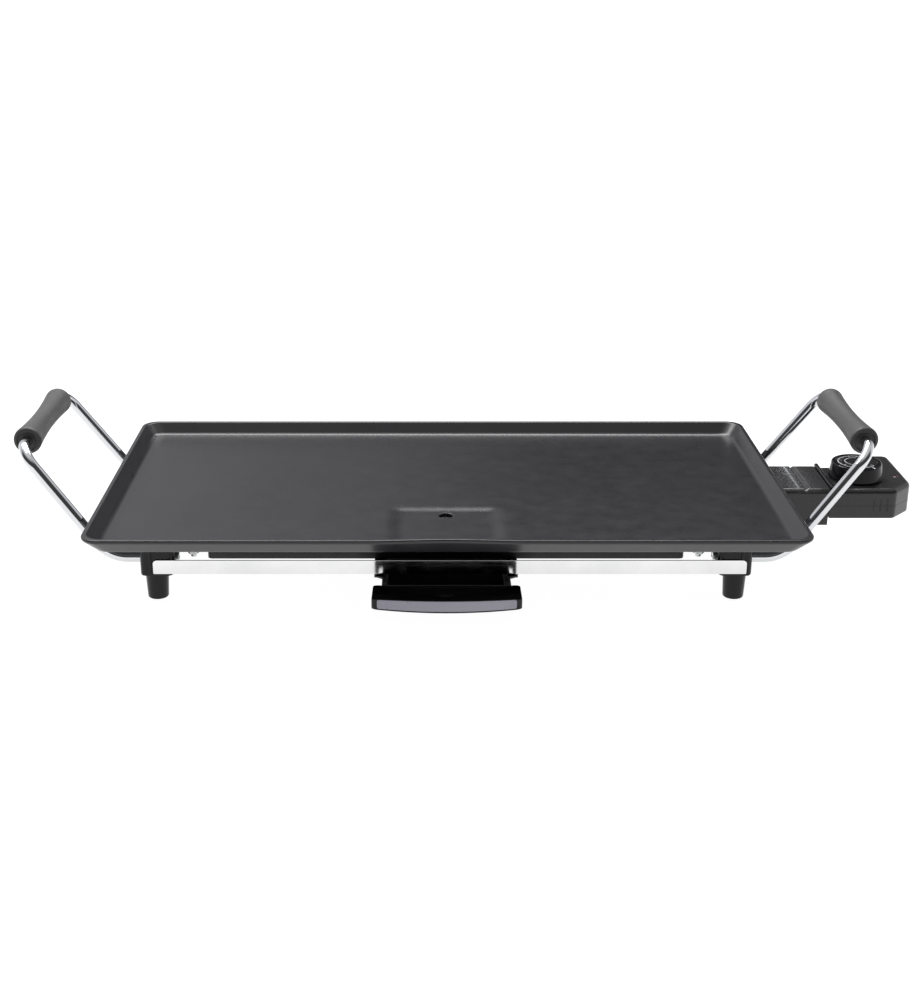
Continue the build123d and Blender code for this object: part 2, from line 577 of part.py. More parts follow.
def control_upper_housing():
    depth = CONTROL_TOP - CONTROL_SPLIT
    shell = Pos(0, 0, CONTROL_SPLIT) * extrude(control_outline(0), amount=depth)
    shell = fillet(shell.faces().sort_by(Axis.Z)[-1].edges(), EDGE_ROUND - 0.2)
    shell -= Pos(0, 0, CONTROL_SPLIT) * extrude(
        control_outline(CONTROL_WALL), amount=depth - CONTROL_WALL)
    for x, y in SCREW_POSTS:
        shell += bar_z(3.4, CONTROL_SPLIT, CONTROL_TOP - 1, x, y)
        shell -= bar_z(1.54, CONTROL_SPLIT - 1, CONTROL_SPLIT + 8, x, y)
    rib = block(CONTROL_LEFT, CONTROL_LEFT + 3, -RIB_HALF, RIB_HALF, CONTROL_TOP - 1.5, RIB_TOP)
    rib = fillet(rib.edges().filter_by(Axis.Y).group_by(Axis.Z)[-1], 1.2)
    shell += rib + block(CONTROL_LEFT, CONTROL_LEFT + CONTROL_WALL, -RIB_HALF, RIB_HALF,
                         CONTROL_SPLIT, CONTROL_TOP)
    shell -= nose_envelope(0.1)
    for x in GRIP_GROOVES:
        shell -= block(x - GROOVE_HALF, x + GROOVE_HALF, CONTROL_FRONT - 1,
                       CONTROL_FRONT + GROOVE_DEPTH,
                       CONTROL_SPLIT - 1, GROOVE_HIGH)
    shell -= bar_z(SHAFT_R + RUNNING, CONTROL_TOP - 4, CONTROL_TOP + 3, KNOB_X, 0)
    shell -= bar_z(2.54, CONTROL_TOP - 4, CONTROL_TOP + 3, *LENS_XY)
    return shell - bar_y(GLAND_R + 0.04, CONTROL_REAR - 6, CONTROL_REAR + 1,
                         GLAND_X, CONTROL_SPLIT)


NOSE_LEFT, NOSE_RIGHT = 259.0, 288.0
NOSE_HALF, NOSE_LOW, NOSE_HIGH = 21.5, 44.2, 60.8


def nose_envelope(gap):
    return block(NOSE_LEFT, NOSE_RIGHT + gap, -NOSE_HALF - gap, NOSE_HALF + gap,
                 NOSE_LOW - gap, NOSE_HIGH + gap)


def plug_nose():
    """Bakelite block that enters the socket and holds the contacts and the sensor."""
    nose = block(NOSE_LEFT, NOSE_RIGHT, -NOSE_HALF, NOSE_HALF, NOSE_LOW, NOSE_HIGH)
    nose = fillet(nose.edges().filter_by(Axis.X), 2.0)
    nose += block(NOSE_RIGHT, NOSE_RIGHT + 2, -22.4, 22.4, 43.1, 61.8)
    for x, y in SCREW_POSTS[:2]:
        nose -= bar_z(3.6, 40, 64, x, y)
    for y in (-PIN_Y, PIN_Y):
        nose -= bar_x(4.04, NOSE_LEFT - 1, NOSE_RIGHT + 3, y, ELEMENT_Z)
    nose -= bar_x(PROBE_R + 0.02, NOSE_LEFT - 1, NOSE_RIGHT + 3, 0, PROBE_Z)
    return nose - bar_x(2.5, NOSE_LEFT - 1, NOSE_LEFT + 16, 0, EARTH_Z)


def contact_sleeves():
    """Brass tubes that grip the terminal pins."""
    def sleeve(y):
        tube = bar_x(4.0, NOSE_LEFT + 0.5, NOSE_RIGHT + 2, y, ELEMENT_Z)
        return tube - bar_x(PIN_R + 0.4, NOSE_LEFT, PIN_END + 1.5, y, ELEMENT_Z)

    return group(sleeve(y) for y in (-PIN_Y, PIN_Y))


PROBE_TIP, PROBE_ROOT = 188.0, 293.0


def sensor_probe():
    probe = bar_x(PROBE_R, PROBE_TIP, PROBE_ROOT, 0, PROBE_Z)
    return fillet(probe.faces().sort_by(Axis.X)[0].edges(), 2.0)


FRAME_Z = CONTROL_LOW + CONTROL_WALL


def thermostat_frame():
    """Steel base with an upright ear that the sensor tube is fixed to."""
    base = block(PROBE_ROOT, 334, -13, 13, FRAME_Z, FRAME_Z + TAB_SHEET)
    return base + block(PROBE_ROOT, PROBE_ROOT + TAB_SHEET, -8, 8, FRAME_Z, 56)


def contact_stack():
    """Ceramic block that carries the switch blade."""
    return block(322, 331, -6, 6, FRAME_Z + TAB_SHEET, 51.6)


def switch_blade():
    blade = block(298, 331, -3.5, 3.5, 51.6, 52.2)
    return blade + block(KNOB_X - 2.5, KNOB_X + 2.5, -2.5, 2.5, 52.2, 53.0)


def indicator_lamp():
    x, y = LENS_XY
    bulb = bar_z(2.2, 49.0, 58.5, x, y)
    return fillet(bulb.faces().sort_by(Axis.Z)[-1].edges(), 1.8)


def indicator_lens():
    x, y = LENS_XY
    lens = bar_z(2.5, CONTROL_TOP - 3, CONTROL_TOP + 0.7, x, y)
    lens = fillet(lens.faces().sort_by(Axis.Z)[-1].edges(), 0.6)
    return lens + bar_z(3.4, CONTROL_TOP - 3, CONTROL_TOP - CONTROL_WALL, x, y)


def housing_screws():
    def screw(x, y):
        head = bar_z(2.9, CONTROL_LOW + 0.4, CONTROL_LOW + 2.2, x, y)
        return head + bar_z(1.5, CONTROL_LOW + 2.2, CONTROL_SPLIT + 7, x, y)

    return group(screw(x, y) for x, y in SCREW_POSTS)


def cord_gland():
    """Bush where the mains lead enters, left open."""
    bush = bar_y(GLAND_R, CONTROL_REAR - 4, CONTROL_REAR + 3, GLAND_X, CONTROL_SPLIT)
    bush = fillet(bush.faces().sort_by(Axis.Y)[-1].edges(), 1.0)
    return bush - bar_y(CORD_HOLE_R, CONTROL_REAR - 5, CONTROL_REAR + 4,
                        GLAND_X, CONTROL_SPLIT)


# --- knob -----------------------------------------------------------------------------------------
DIAL_DEPTH = 0.6
SHAFT_TOP = 72.0


def control_knob():
    """Round knob with a fluted side, a dished top and a blind hole for its shaft."""
    knob = loft([Pos(KNOB_X, 0, KNOB_LOW) * Circle(KNOB_R),
                 Pos(KNOB_X, 0, KNOB_TOP) * Circle(KNOB_R - KNOB_TAPER)])
    knob = fillet(knob.faces().sort_by(Axis.Z)[-1].edges(), 1.2)
    for i in range(FLUTES):
        angle = 2 * math.pi * i / FLUTES
        reach = KNOB_R - 0.2
        knob -= bar_z(1.1, KNOB_LOW - 1, KNOB_TOP - 2.2,
                      KNOB_X + reach * math.cos(angle), reach * math.sin(angle))
    knob -= bar_z(15.0, KNOB_TOP - DIAL_DEPTH, KNOB_TOP + 1, KNOB_X, 0)
    return knob - bar_z(SHAFT_R + 0.02, KNOB_LOW - 1, SHAFT_TOP, KNOB_X, 0)


def knob_dial():
    """Printed disc in the knob's top."""
    return bar_z(14.9, KNOB_TOP - DIAL_DEPTH, KNOB_TOP - 0.05, KNOB_X, 0)


def knob_shaft():
    return bar_z(SHAFT_R, 53.4, SHAFT_TOP, KNOB_X, 0)


def shaft_clip():
    """Ring that keeps the shaft in the housing."""
    ring = bar_z(5.5, 60.0, 61.4, KNOB_X, 0)
    return ring - bar_z(SHAFT_R + 0.01, 59.0, 62.0, KNOB_X, 0)


# --- write every node -----------------------------------------------------------------------------
def mirrored_x(shape):
    return mirror(shape, about=Plane.YZ)


def mirrored_y(shape):
    return mirror(shape, about=Plane.XZ)


SINGLES = [
    griddle_plate, drain_spout, heating_element, element_clamps, terminal_pins,
    terminal_insulators, earth_pin, probe_boss, reflector_pan, leg_brackets, leg_screws,
    plate_studs, stud_spacers, stud_nuts, rail_nuts, socket_shroud, socket_bracket,
    bracket_rivets, socket_screws, drip_tray, tray_handle, tray_handle_insert,
    tray_handle_screws, control_lower_housing, control_upper_housing, plug_nose,
    contact_sleeves, sensor_probe, thermostat_frame, contact_stack, switch_blade,
    indicator_lamp, indicator_lens, housing_screws, cord_gland, control_knob, knob_dial,
    knob_shaft, shaft_clip,
]

os.makedirs("parts", exist_ok=True)
for make in SINGLES:
    save(make(), make.__name__)

leg = front_right_leg()
save(leg, "leg_front_right")
save(mirrored_x(leg), "leg_front_left")
save(mirrored_y(leg), "leg_rear_right")
save(mirrored_x(mirrored_y(leg)), "leg_rear_left")

for build, node in ((right_rod, "handle_rod"), (right_grip, "handle_grip"),
                    (right_tray_guide, "tray_guide")):
    shape = build()
    save(shape, f"{node}_right")
    save(mirrored_x(shape), f"{node}_left")

rail = front_rail()
save(rail, "rail_front")
save(mirrored_y(rail), "rail_rear")
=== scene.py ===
"""Looks of a table griddle: a rimmed cooking plate on legs, with a drip tray and a plug-in control.

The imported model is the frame. Each class below builds one sub-assembly as numpy-computed
surfaces, in millimetres in the row's frame, and dresses it. Meshes are written in metres.
"""

import json
import logging
import math
from dataclasses import dataclass, field
from enum import Enum
from typing import Iterable, Sequence

import bpy
import numpy as np
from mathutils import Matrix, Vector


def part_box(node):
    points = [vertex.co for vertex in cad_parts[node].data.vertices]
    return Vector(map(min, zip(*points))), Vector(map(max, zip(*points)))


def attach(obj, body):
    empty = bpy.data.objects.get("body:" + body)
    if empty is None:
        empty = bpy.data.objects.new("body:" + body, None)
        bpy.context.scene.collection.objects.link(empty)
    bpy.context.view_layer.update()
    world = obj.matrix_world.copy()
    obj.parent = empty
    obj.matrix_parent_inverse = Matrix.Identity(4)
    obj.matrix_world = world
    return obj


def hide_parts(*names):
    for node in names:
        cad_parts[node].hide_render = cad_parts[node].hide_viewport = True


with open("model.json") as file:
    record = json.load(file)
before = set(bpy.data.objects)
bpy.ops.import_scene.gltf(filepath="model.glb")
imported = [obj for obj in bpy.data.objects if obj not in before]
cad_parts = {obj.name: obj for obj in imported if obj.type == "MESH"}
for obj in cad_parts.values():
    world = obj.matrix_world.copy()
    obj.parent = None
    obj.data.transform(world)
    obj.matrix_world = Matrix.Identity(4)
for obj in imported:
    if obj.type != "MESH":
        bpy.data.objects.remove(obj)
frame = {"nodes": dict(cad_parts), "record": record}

LOG = logging.getLogger("griddle")
MM = 0.001
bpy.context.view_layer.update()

Array = np.ndarray
Socket = bpy.types.NodeSocket


# --- geometry -----------------------------------------------------------------------------------
@dataclass(frozen=True)
class Extent:
    """Box of one CAD node, in millimetres."""

    low: Array
    high: Array

    @staticmethod
    def of(node: str) -> "Extent":
        """Box of the named CAD node at rest."""
        low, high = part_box(node)
        return Extent(np.array(low) / MM, np.array(high) / MM)

    @property
    def middle(self) -> Array:
        """Centre of the box."""
        return (self.low + self.high) / 2

    @property
    def half(self) -> Array:
        """Half the box's size."""
        return (self.high - self.low) / 2


def unit(vector: Array) -> Array:
    """Vectors along the last axis, scaled to length one."""
    return vector / np.maximum(np.linalg.norm(vector, axis=-1, keepdims=True), 1e-12)


def rounded_path(corners: Sequence[Sequence[float]], radii: Sequence[float],
                 steps: int = 8) -> Array:
    """Polyline whose inner corners are replaced by tangent arcs.

    An arc of radius r through a turn t starts r tan(t/2) before its corner, and its centre lies
    r / cos(t/2) from the corner on the bisector; points on it are the slerp of its two end radii.

    Args:
        corners: the points of the sharp path, in two or three dimensions.
        radii: one radius for each inner corner; zero keeps it sharp.
        steps: segments in each arc.

    Returns:
        The points of the rounded path, one per row.
    """
    points = np.asarray(corners, float)
    rows = [points[:1]]
    for before, corner, after, radius in zip(points, points[1:], points[2:], radii):
        enter, leave = unit(corner - before), unit(after - corner)
        turn = math.acos(float(np.clip(enter @ leave, -1, 1)))
        if radius <= 0 or turn < 1e-4:
            rows.append(corner[None])
            continue
        reach = radius * math.tan(turn / 2)
        start, stop = corner - enter * reach, corner + leave * reach
        centre = corner + unit(leave - enter) * radius / math.cos(turn / 2)
        s = np.linspace(0, 1, steps + 1)[:, None]
        rows.append(centre + (np.sin((1 - s) * turn) * (start - centre)
                              + np.sin(s * turn) * (stop - centre)) / math.sin(turn))
    return np.vstack([*rows, points[-1:]])


def rounded_rectangle(half_x: float, half_y: float, radius: float,
                      runs: tuple[int, int] = (1, 1), around: int = 8) -> Array:
    """Closed outline of a rounded rectangle about the origin, anticlockwise from its right side.

    Each corner is a quarter circle in equal angles and each side is cut into equal runs, so two
    rectangles made with the same counts match point by point.

    Args:
        half_x: half its length.
        half_y: half its width.
        radius: corner radius.
        runs: pieces along each long (x) and short (y) side.
        around: segments in each corner.

    Returns:
        The points, one per row.
    """
    rows = []
    for quarter in range(4):
        sign_x, sign_y = ((1, 1), (-1, 1), (-1, -1), (1, -1))[quarter]
        centre = np.array([sign_x * (half_x - radius), sign_y * (half_y - radius)])
        angle = (quarter + np.linspace(0, 1, around + 1)) * math.pi / 2
        rows.append(centre + radius * np.stack([np.cos(angle), np.sin(angle)], 1))
    outline = []
    for quarter, arc in enumerate(rows):
        following = rows[(quarter + 1) % 4][0]
        count = runs[quarter % 2]
        s = np.linspace(0, 1, count + 1)[1:-1, None]
        outline += [arc, arc[-1] * (1 - s) + following * s]
    return np.vstack(outline)


def inset(outline: Array, distance: float) -> Array:
    """Closed anticlockwise outline moved inwards by a distance along its mitred normals."""
    forward = unit(np.roll(outline, -1, 0) - outline)
    normal = np.stack([-forward[:, 1], forward[:, 0]], 1)
    mean = unit(normal + np.roll(normal, 1, 0))
    stretch = np.sum(mean * normal, 1, keepdims=True)
    return outline + mean * distance / np.maximum(stretch, 0.4)


def quarter_round(radius: float, steps: int) -> Array:
    """Quarter circle in equal angles: row i is r (1 - sin a_i), r (1 - cos a_i).

    Args:
        radius: its radius.
        steps: segments in it.

    Returns:
        Pairs that run from (r, 0) to (0, r).
    """
    angle = np.linspace(0, math.pi / 2, steps + 1)
    return radius * np.stack([1 - np.sin(angle), 1 - np.cos(angle)], 1)


def smooth_step(value: Array) -> Array:
    """Rise from 0 to 1 with flat ends: 3v^2 - 2v^3, held outside 0..1."""
    held = np.clip(value, 0, 1)
    return held * held * (3 - 2 * held)


@dataclass
class Shell:
    """Surface made of grids of points, each closed by a wrap or by flat caps."""

    points: list[Array] = field(default_factory=list)
    faces: list[tuple[int, ...]] = field(default_factory=list)
    count: int = 0

    def add(self, rings: Array, wrap: bool = False) -> "Shell":
        """Add one closed grid.

        Neighbouring rings are joined by quads, and each ring closes on itself. Without a wrap the
        first and last rings are capped. The signed volume, a sixth of the sum of a.(b x c)
        over its triangles, tells whether its faces must be turned to point outwards.

        Args:
            rings: array of rings by points by 3, in millimetres.
            wrap: join the last ring to the first instead of capping both.

        Returns:
            This shell.
        """
        rings = np.asarray(rings, float)
        rows, columns = rings.shape[:2]
        index = np.arange(rows * columns).reshape(rows, columns)
        upper = np.roll(index, -1, 0) if wrap else index[1:]
        lower = index if wrap else index[:-1]
        quads = np.stack([lower, np.roll(lower, -1, 1), np.roll(upper, -1, 1), upper], -1)
        quads = quads.reshape(-1, 4)
        flat = rings.reshape(-1, 3)
        caps = [] if wrap else [index[0][::-1], index[-1]]
        triangles = [quads[:, [0, 1, 2]], quads[:, [0, 2, 3]]]
        for cap in caps:
            triangles.append(np.stack([np.full(columns - 2, cap[0]), cap[1:-1], cap[2:]], 1))
        a, b, c = (flat[np.vstack(triangles)[:, k]] for k in range(3))
        faces = [tuple(q) for q in (quads + self.count).tolist()]
        faces += [tuple((cap + self.count).tolist()) for cap in caps]
        if np.einsum("ij,ij->", a, np.cross(b, c)) < 0:
            faces = [face[::-1] for face in faces]
        self.points.append(flat)
        self.faces += faces
        self.count += len(flat)
        return self

    def placed(self, name: str, look: "Look") -> bpy.types.Object:
        """Write the mesh in metres, in one finish, and link it to the scene.

        Args:
            name: name of the mesh and of its object.
            look: its finish.

        Returns:
            The object, at the origin.
        """
        mesh = bpy.data.meshes.new(name)
        mesh.from_pydata((np.vstack(self.points) * MM).tolist(), [], self.faces)
        mesh.materials.append(PAINTS.material(look))
        piece = bpy.data.objects.new(name, mesh)
        bpy.context.scene.collection.objects.link(piece)
        return piece

    def build(self, name: str, look: "Look", body: str, replaces: Sequence[str] = (),
              crease: float = 40.0) -> bpy.types.Object:
        """Write the mesh, dress it and hang it on its body.

        Args:
            name: the piece's name.
            look: its finish.
            body: CAD body that it rides on.
            replaces: CAD nodes that it stands for.
            crease: faces that meet at more than this many degrees keep a sharp edge.

        Returns:
            The finished object.
        """
        piece = self.placed(name, look)
        mesh = piece.data
        mesh.polygons.foreach_set("use_smooth", np.ones(len(mesh.polygons), bool))
        mesh.set_sharp_from_angle(angle=math.radians(crease))
        mesh.update()
        evener = piece.modifiers.new("even_normals", "WEIGHTED_NORMAL")
        evener.keep_sharp = True
        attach(piece, body)
        if replaces:
            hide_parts(*replaces)
        LOG.info("%s: %d faces on %s", name, len(self.faces), body)
        return piece


def stacked(outline: Array, levels: Iterable[tuple[float, float]]) -> Array:
    """Rings of an outline at several heights.

    Args:
        outline: closed anticlockwise outline in X and Y.
        levels: pairs of inset and height.

    Returns:
        Array of rings by points by 3.
    """
    return np.stack([np.column_stack([inset(outline, d), np.full(len(outline), z)])
                     for d, z in levels])


def turned(profile: Array, segments: int = 48) -> Array:
    """Rings of a turned shape about the X axis.

    Args:
        profile: pairs of distance along the axis and radius.
        segments: points around.

    Returns:
        Array of rings by points by 3; point j of ring i is (s_i, r_i cos a_j, r_i sin a_j).
    """
    angle = np.linspace(0, 2 * math.pi, segments, endpoint=False)
    along, radius = np.asarray(profile, float).T
    return np.stack([np.broadcast_to(along[:, None], (len(along), segments)),
                     radius[:, None] * np.cos(angle), radius[:, None] * np.sin(angle)], -1)


def upright(rings: Array) -> Array:
    """Turn a shape made about X so that it stands on Z."""
    return np.stack([rings[..., 1], rings[..., 2], rings[..., 0]], -1)


def sideways(rings: Array) -> Array:
    """Turn a shape made about X so that it lies along Y."""
    return np.stack([rings[..., 2], rings[..., 0], rings[..., 1]], -1)


def tube(path: Array, radius: float, across: Sequence[float], segments: int = 32) -> Array:
    """Rings of a round bar along a path.

    Each ring lies square to the path: its first axis is the part of a fixed direction that is
    square to the tangent, and its second is the cross product of the two.

    Args:
        path: points of the centre line.
        radius: the bar's radius.
        across: a direction that the path never runs along.
        segments: points around.

    Returns:
        Array of rings by points by 3.
    """
    tangent = unit(np.gradient(path, axis=0))
    side = np.asarray(across, float)
    first = unit(side - tangent * (tangent @ side)[:, None])
    second = np.cross(tangent, first)
    angle = np.linspace(0, 2 * math.pi, segments, endpoint=False)[None, :, None]
    return path[:, None] + radius * (np.cos(angle) * first[:, None]
                                     + np.sin(angle) * second[:, None])


# --- finishes -----------------------------------------------------------------------------------
class Grain(Enum):
    """Fine surface pattern of a finish."""

    PEBBLE = "pebble"        # spark-eroded mould
    SMOOTH = "smooth"        # polished, with faint waviness
    BRUSHED = "brushed"      # drawn along X
    SPANGLE = "spangle"      # zinc crystals
    SPECKLE = "speckle"      # sprayed non-stick coating


@dataclass(frozen=True)
class Finish:
    """Everything that a material needs."""

    slot: str
    colour: tuple[float, float, float]
    shade: tuple[float, float, float]
    rough: tuple[float, float]
    grain: Grain = Grain.PEBBLE
    pitch: float = 0.5                   # size of the grain, mm
    relief: float = 0.1
    metallic: float = 0.0
    coat: float = 0.0
    coat_rough: float = 0.08
    specular: float = 0.5
    glow: float = 0.0                    # light of its own, for the table


class Look(Enum):
    """The finishes of this griddle's pieces."""

    COATING = Finish("nonstick_coat", (0.010, 0.010, 0.012), (0.013, 0.012, 0.014),
                     (0.27, 0.32), Grain.SPECKLE, 0.55, 0.10, specular=0.5)
    CHROME = Finish("rod_chrome", (0.68, 0.69, 0.70), (0.62, 0.63, 0.65), (0.06, 0.11),
                    Grain.SMOOTH, 9.0, 0.02, metallic=1.0)
    STRIP = Finish("rail_chrome", (0.84, 0.84, 0.84), (0.72, 0.72, 0.73), (0.08, 0.16),
                   Grain.BRUSHED, 0.9, 0.05, metallic=1.0)
    GRIP = Finish("grip_plastic", (0.044, 0.042, 0.043), (0.052, 0.050, 0.051), (0.50, 0.60),
                  Grain.PEBBLE, 0.55, 0.22)
    LEG = Finish("leg_plastic", (0.007, 0.007, 0.008), (0.010, 0.010, 0.011), (0.20, 0.26),
                 Grain.SMOOTH, 1.4, 0.03, specular=0.25)
    TRAY = Finish("tray_enamel", (0.008, 0.008, 0.009), (0.014, 0.014, 0.015), (0.12, 0.22),
                  Grain.SMOOTH, 2.5, 0.05, coat=0.5)
    HANDLE = Finish("tray_gloss", (0.005, 0.005, 0.006), (0.008, 0.008, 0.009), (0.07, 0.12),
                    Grain.SMOOTH, 5.0, 0.02, coat=0.15, coat_rough=0.04, specular=0.18)
    INLAY = Finish("insert_grey", (0.270, 0.262, 0.310), (0.300, 0.292, 0.340), (0.26, 0.32),
                   Grain.SMOOTH, 3.0, 0.01, metallic=0.35)
    HOUSING = Finish("control_black", (0.020, 0.020, 0.021), (0.025, 0.025, 0.026),
                     (0.24, 0.30), Grain.SMOOTH, 2.0, 0.02, coat=0.3, coat_rough=0.06,
                     specular=0.25)
    KNOB = Finish("knob_black", (0.005, 0.005, 0.006), (0.008, 0.008, 0.009), (0.08, 0.13),
                  Grain.SMOOTH, 4.0, 0.02, coat=0.12, coat_rough=0.04, specular=0.15)
    DIAL = Finish("dial_print", (0.012, 0.012, 0.013), (0.020, 0.020, 0.021), (0.20, 0.28),
                  Grain.PEBBLE, 0.6, 0.06)
    PRINT = Finish("insert_grey", (0.50, 0.50, 0.52), (0.60, 0.60, 0.62), (0.35, 0.45),
                   Grain.PEBBLE, 0.3, 0.05)
    LENS = Finish("lens_red", (0.030, 0.010, 0.009), (0.045, 0.012, 0.010), (0.10, 0.16),
                  Grain.SMOOTH, 1.5, 0.03, coat=0.5, coat_rough=0.05)
    GLAND = Finish("gland_rubber", (0.016, 0.016, 0.016), (0.026, 0.026, 0.026), (0.55, 0.70),
                   Grain.PEBBLE, 0.6, 0.20)
    BAKELITE = Finish("bakelite_brown", (0.030, 0.016, 0.010), (0.050, 0.026, 0.016),
                      (0.30, 0.42), Grain.PEBBLE, 0.8, 0.10)
    ZINC_SHEET = Finish("galvanised_sheet", (0.36, 0.37, 0.38), (0.52, 0.53, 0.55),
                        (0.30, 0.50), Grain.SPANGLE, 7.0, 0.08, metallic=0.9)
    ZINC_BOLT = Finish("zinc_fastener", (0.60, 0.61, 0.62), (0.72, 0.73, 0.74), (0.18, 0.32),
                       Grain.BRUSHED, 0.5, 0.06, metallic=1.0)
    # painted shade: the sheet parts under the plate, such as the reflector pan and leg brackets,
    # are bare metal; this near-black stands for the shade and dark reflections they sit in
    BLACK_STEEL = Finish("black_steel", (0.012, 0.012, 0.012), (0.022, 0.022, 0.022),
                         (0.34, 0.48), Grain.PEBBLE, 0.5, 0.14)
    SHEATH = Finish("element_sheath", (0.16, 0.14, 0.13), (0.26, 0.22, 0.20), (0.38, 0.55),
                    Grain.PEBBLE, 1.2, 0.16, metallic=0.85)
    NICKEL = Finish("pin_nickel", (0.68, 0.66, 0.62), (0.76, 0.74, 0.70), (0.14, 0.26),
                    Grain.BRUSHED, 0.4, 0.05, metallic=1.0)
    CERAMIC = Finish("ceramic_white", (0.74, 0.70, 0.62), (0.82, 0.79, 0.72), (0.50, 0.65),
                     Grain.PEBBLE, 0.4, 0.12)
    ALUMINIUM = Finish("bare_aluminium", (0.58, 0.58, 0.59), (0.68, 0.68, 0.69), (0.34, 0.50),
                       Grain.PEBBLE, 0.6, 0.12, metallic=1.0)
    BRASS = Finish("contact_brass", (0.72, 0.52, 0.22), (0.80, 0.60, 0.30), (0.18, 0.32),
                   Grain.BRUSHED, 0.5, 0.05, metallic=1.0)
    PROBE = Finish("probe_steel", (0.52, 0.52, 0.53), (0.62, 0.62, 0.63), (0.22, 0.36),
                   Grain.BRUSHED, 0.4, 0.06, metallic=1.0)
    BRONZE = Finish("blade_bronze", (0.62, 0.38, 0.20), (0.70, 0.46, 0.26), (0.22, 0.36),
                    Grain.BRUSHED, 0.5, 0.05, metallic=1.0)
    BULB = Finish("lamp_glass", (0.75, 0.55, 0.40), (0.85, 0.65, 0.50), (0.08, 0.14),
                  Grain.SMOOTH, 2.0, 0.02, coat=0.6, coat_rough=0.03)
    TABLE = Finish("", (0.15, 0.15, 0.15), (0.17, 0.17, 0.17), (0.55, 0.65),
                   Grain.PEBBLE, 3.0, 0.02, glow=0.98)


class Recipe:
    """Node tree of one material, under construction."""

    def __init__(self, name: str) -> None:
        """Start an empty tree with its shader.

        Args:
            name: the material's name.
        """
        self.material = bpy.data.materials.new(name)
        self.material.use_nodes = True
        self.nodes = self.material.node_tree.nodes
        self.links = self.material.node_tree.links
        self.shader = next(n for n in self.nodes if n.type == "BSDF_PRINCIPLED")
        self.place = self.node("ShaderNodeTexCoord").outputs["Object"]

    def node(self, kind: str, **settings: object) -> bpy.types.Node:
        """Add a node with these settings."""
        made = self.nodes.new(kind)
        for key, value in settings.items():
            setattr(made, key, value)
        return made

    def stretched(self, scale: Sequence[float]) -> Socket:
        """Object coordinates scaled along each axis."""
        mapping = self.node("ShaderNodeMapping")
        mapping.inputs["Scale"].default_value = scale
        self.links.new(self.place, mapping.inputs["Vector"])
        return mapping.outputs["Vector"]

    def noise(self, pitch: float, detail: float = 4.0, place: Socket | None = None) -> Socket:
        """Noise with features of this size in millimetres."""
        made = self.node("ShaderNodeTexNoise")
        made.inputs["Scale"].default_value = 1 / (pitch * MM)
        made.inputs["Detail"].default_value = detail
        self.links.new(place or self.place, made.inputs["Vector"])
        return made.outputs["Fac"]

    def cells(self, pitch: float, feature: str, output: str) -> Socket:
        """Voronoi cells of this size in millimetres."""
        made = self.node("ShaderNodeTexVoronoi", feature=feature)
        made.inputs["Scale"].default_value = 1 / (pitch * MM)
        self.links.new(self.place, made.inputs["Vector"])
        return made.outputs[output]

    def ranged(self, value: Socket, low: float, high: float,
               source: tuple[float, float] = (0.3, 0.7)) -> Socket:
        """Map a value from its source range to low..high."""
        made = self.node("ShaderNodeMapRange")
        made.inputs["From Min"].default_value, made.inputs["From Max"].default_value = source
        made.inputs["To Min"].default_value, made.inputs["To Max"].default_value = low, high
        self.links.new(value, made.inputs["Value"])
        return made.outputs["Result"]

    def mixed(self, factor: Socket, first: Sequence[float], second: Sequence[float]) -> Socket:
        """Blend of two colours by a factor."""
        made = self.node("ShaderNodeMix", data_type="RGBA")
        self.links.new(factor, made.inputs["Factor"])
        made.inputs["A"].default_value = (*first, 1)
        made.inputs["B"].default_value = (*second, 1)
        return made.outputs["Result"]

    def bumped(self, height: Socket, strength: float, pitch: float) -> None:
        """Bump on the shader's normal, as deep as a tenth of the grain's size."""
        made = self.node("ShaderNodeBump")
        made.inputs["Strength"].default_value = strength
        made.inputs["Distance"].default_value = pitch * MM * 0.1
        self.links.new(height, made.inputs["Height"])
        self.links.new(made.outputs["Normal"], self.shader.inputs["Normal"])


class Paints:
    """Makes each finish's material once."""

    def __init__(self) -> None:
        """Start with no material made."""
        self.made: dict[Look, bpy.types.Material] = {}

    def material(self, look: Look) -> bpy.types.Material:
        """The material of a finish."""
        if look not in self.made:
            self.made[look] = self.mixed_up(look.name.lower(), look.value)
        return self.made[look]

    @staticmethod
    def grain(recipe: Recipe, finish: Finish) -> Socket:
        """Height of a finish's fine pattern, about 0 to 1."""
        if finish.grain is Grain.BRUSHED:
            along = recipe.stretched((0.02, 1.0, 1.0))
            return recipe.noise(finish.pitch, 3.0, along)
        if finish.grain is Grain.SPANGLE:
            return recipe.cells(finish.pitch, "F1", "Color")
        if finish.grain is Grain.SPECKLE:
            return recipe.noise(finish.pitch, 6.0)
        return recipe.noise(finish.pitch, 2.0)

    def mixed_up(self, name: str, finish: Finish) -> bpy.types.Material:
        """Build a finish's nodes.

        Colour drifts between two tones over tens of millimetres, roughness follows a smaller
        cloud, and the grain drives the bump. What is the same all over goes on the sockets.

        Args:
            name: the material's name.
            finish: its values.

        Returns:
            The material.
        """
        recipe = Recipe(name)
        sockets = recipe.shader.inputs
        grain = self.grain(recipe, finish)
        tone_pitch = finish.pitch if finish.grain is Grain.SPANGLE else 38.0
        tone = grain if finish.grain is Grain.SPANGLE else recipe.noise(tone_pitch, 5.0)
        recipe.links.new(recipe.mixed(recipe.ranged(tone, 0, 1), finish.colour, finish.shade),
                         sockets["Base Color"])
        cloud = recipe.noise(14.0, 6.0)
        recipe.links.new(recipe.ranged(cloud, *finish.rough), sockets["Roughness"])
        recipe.bumped(grain, finish.relief, finish.pitch)
        sockets["Metallic"].default_value = finish.metallic
        sockets["Specular IOR Level"].default_value = finish.specular
        sockets["Coat Weight"].default_value = finish.coat
        sockets["Coat Roughness"].default_value = finish.coat_rough
        sockets["Emission Color"].default_value = (1, 1, 1, 1)
        sockets["Emission Strength"].default_value = finish.glow
        return recipe.material


PAINTS = Paints()


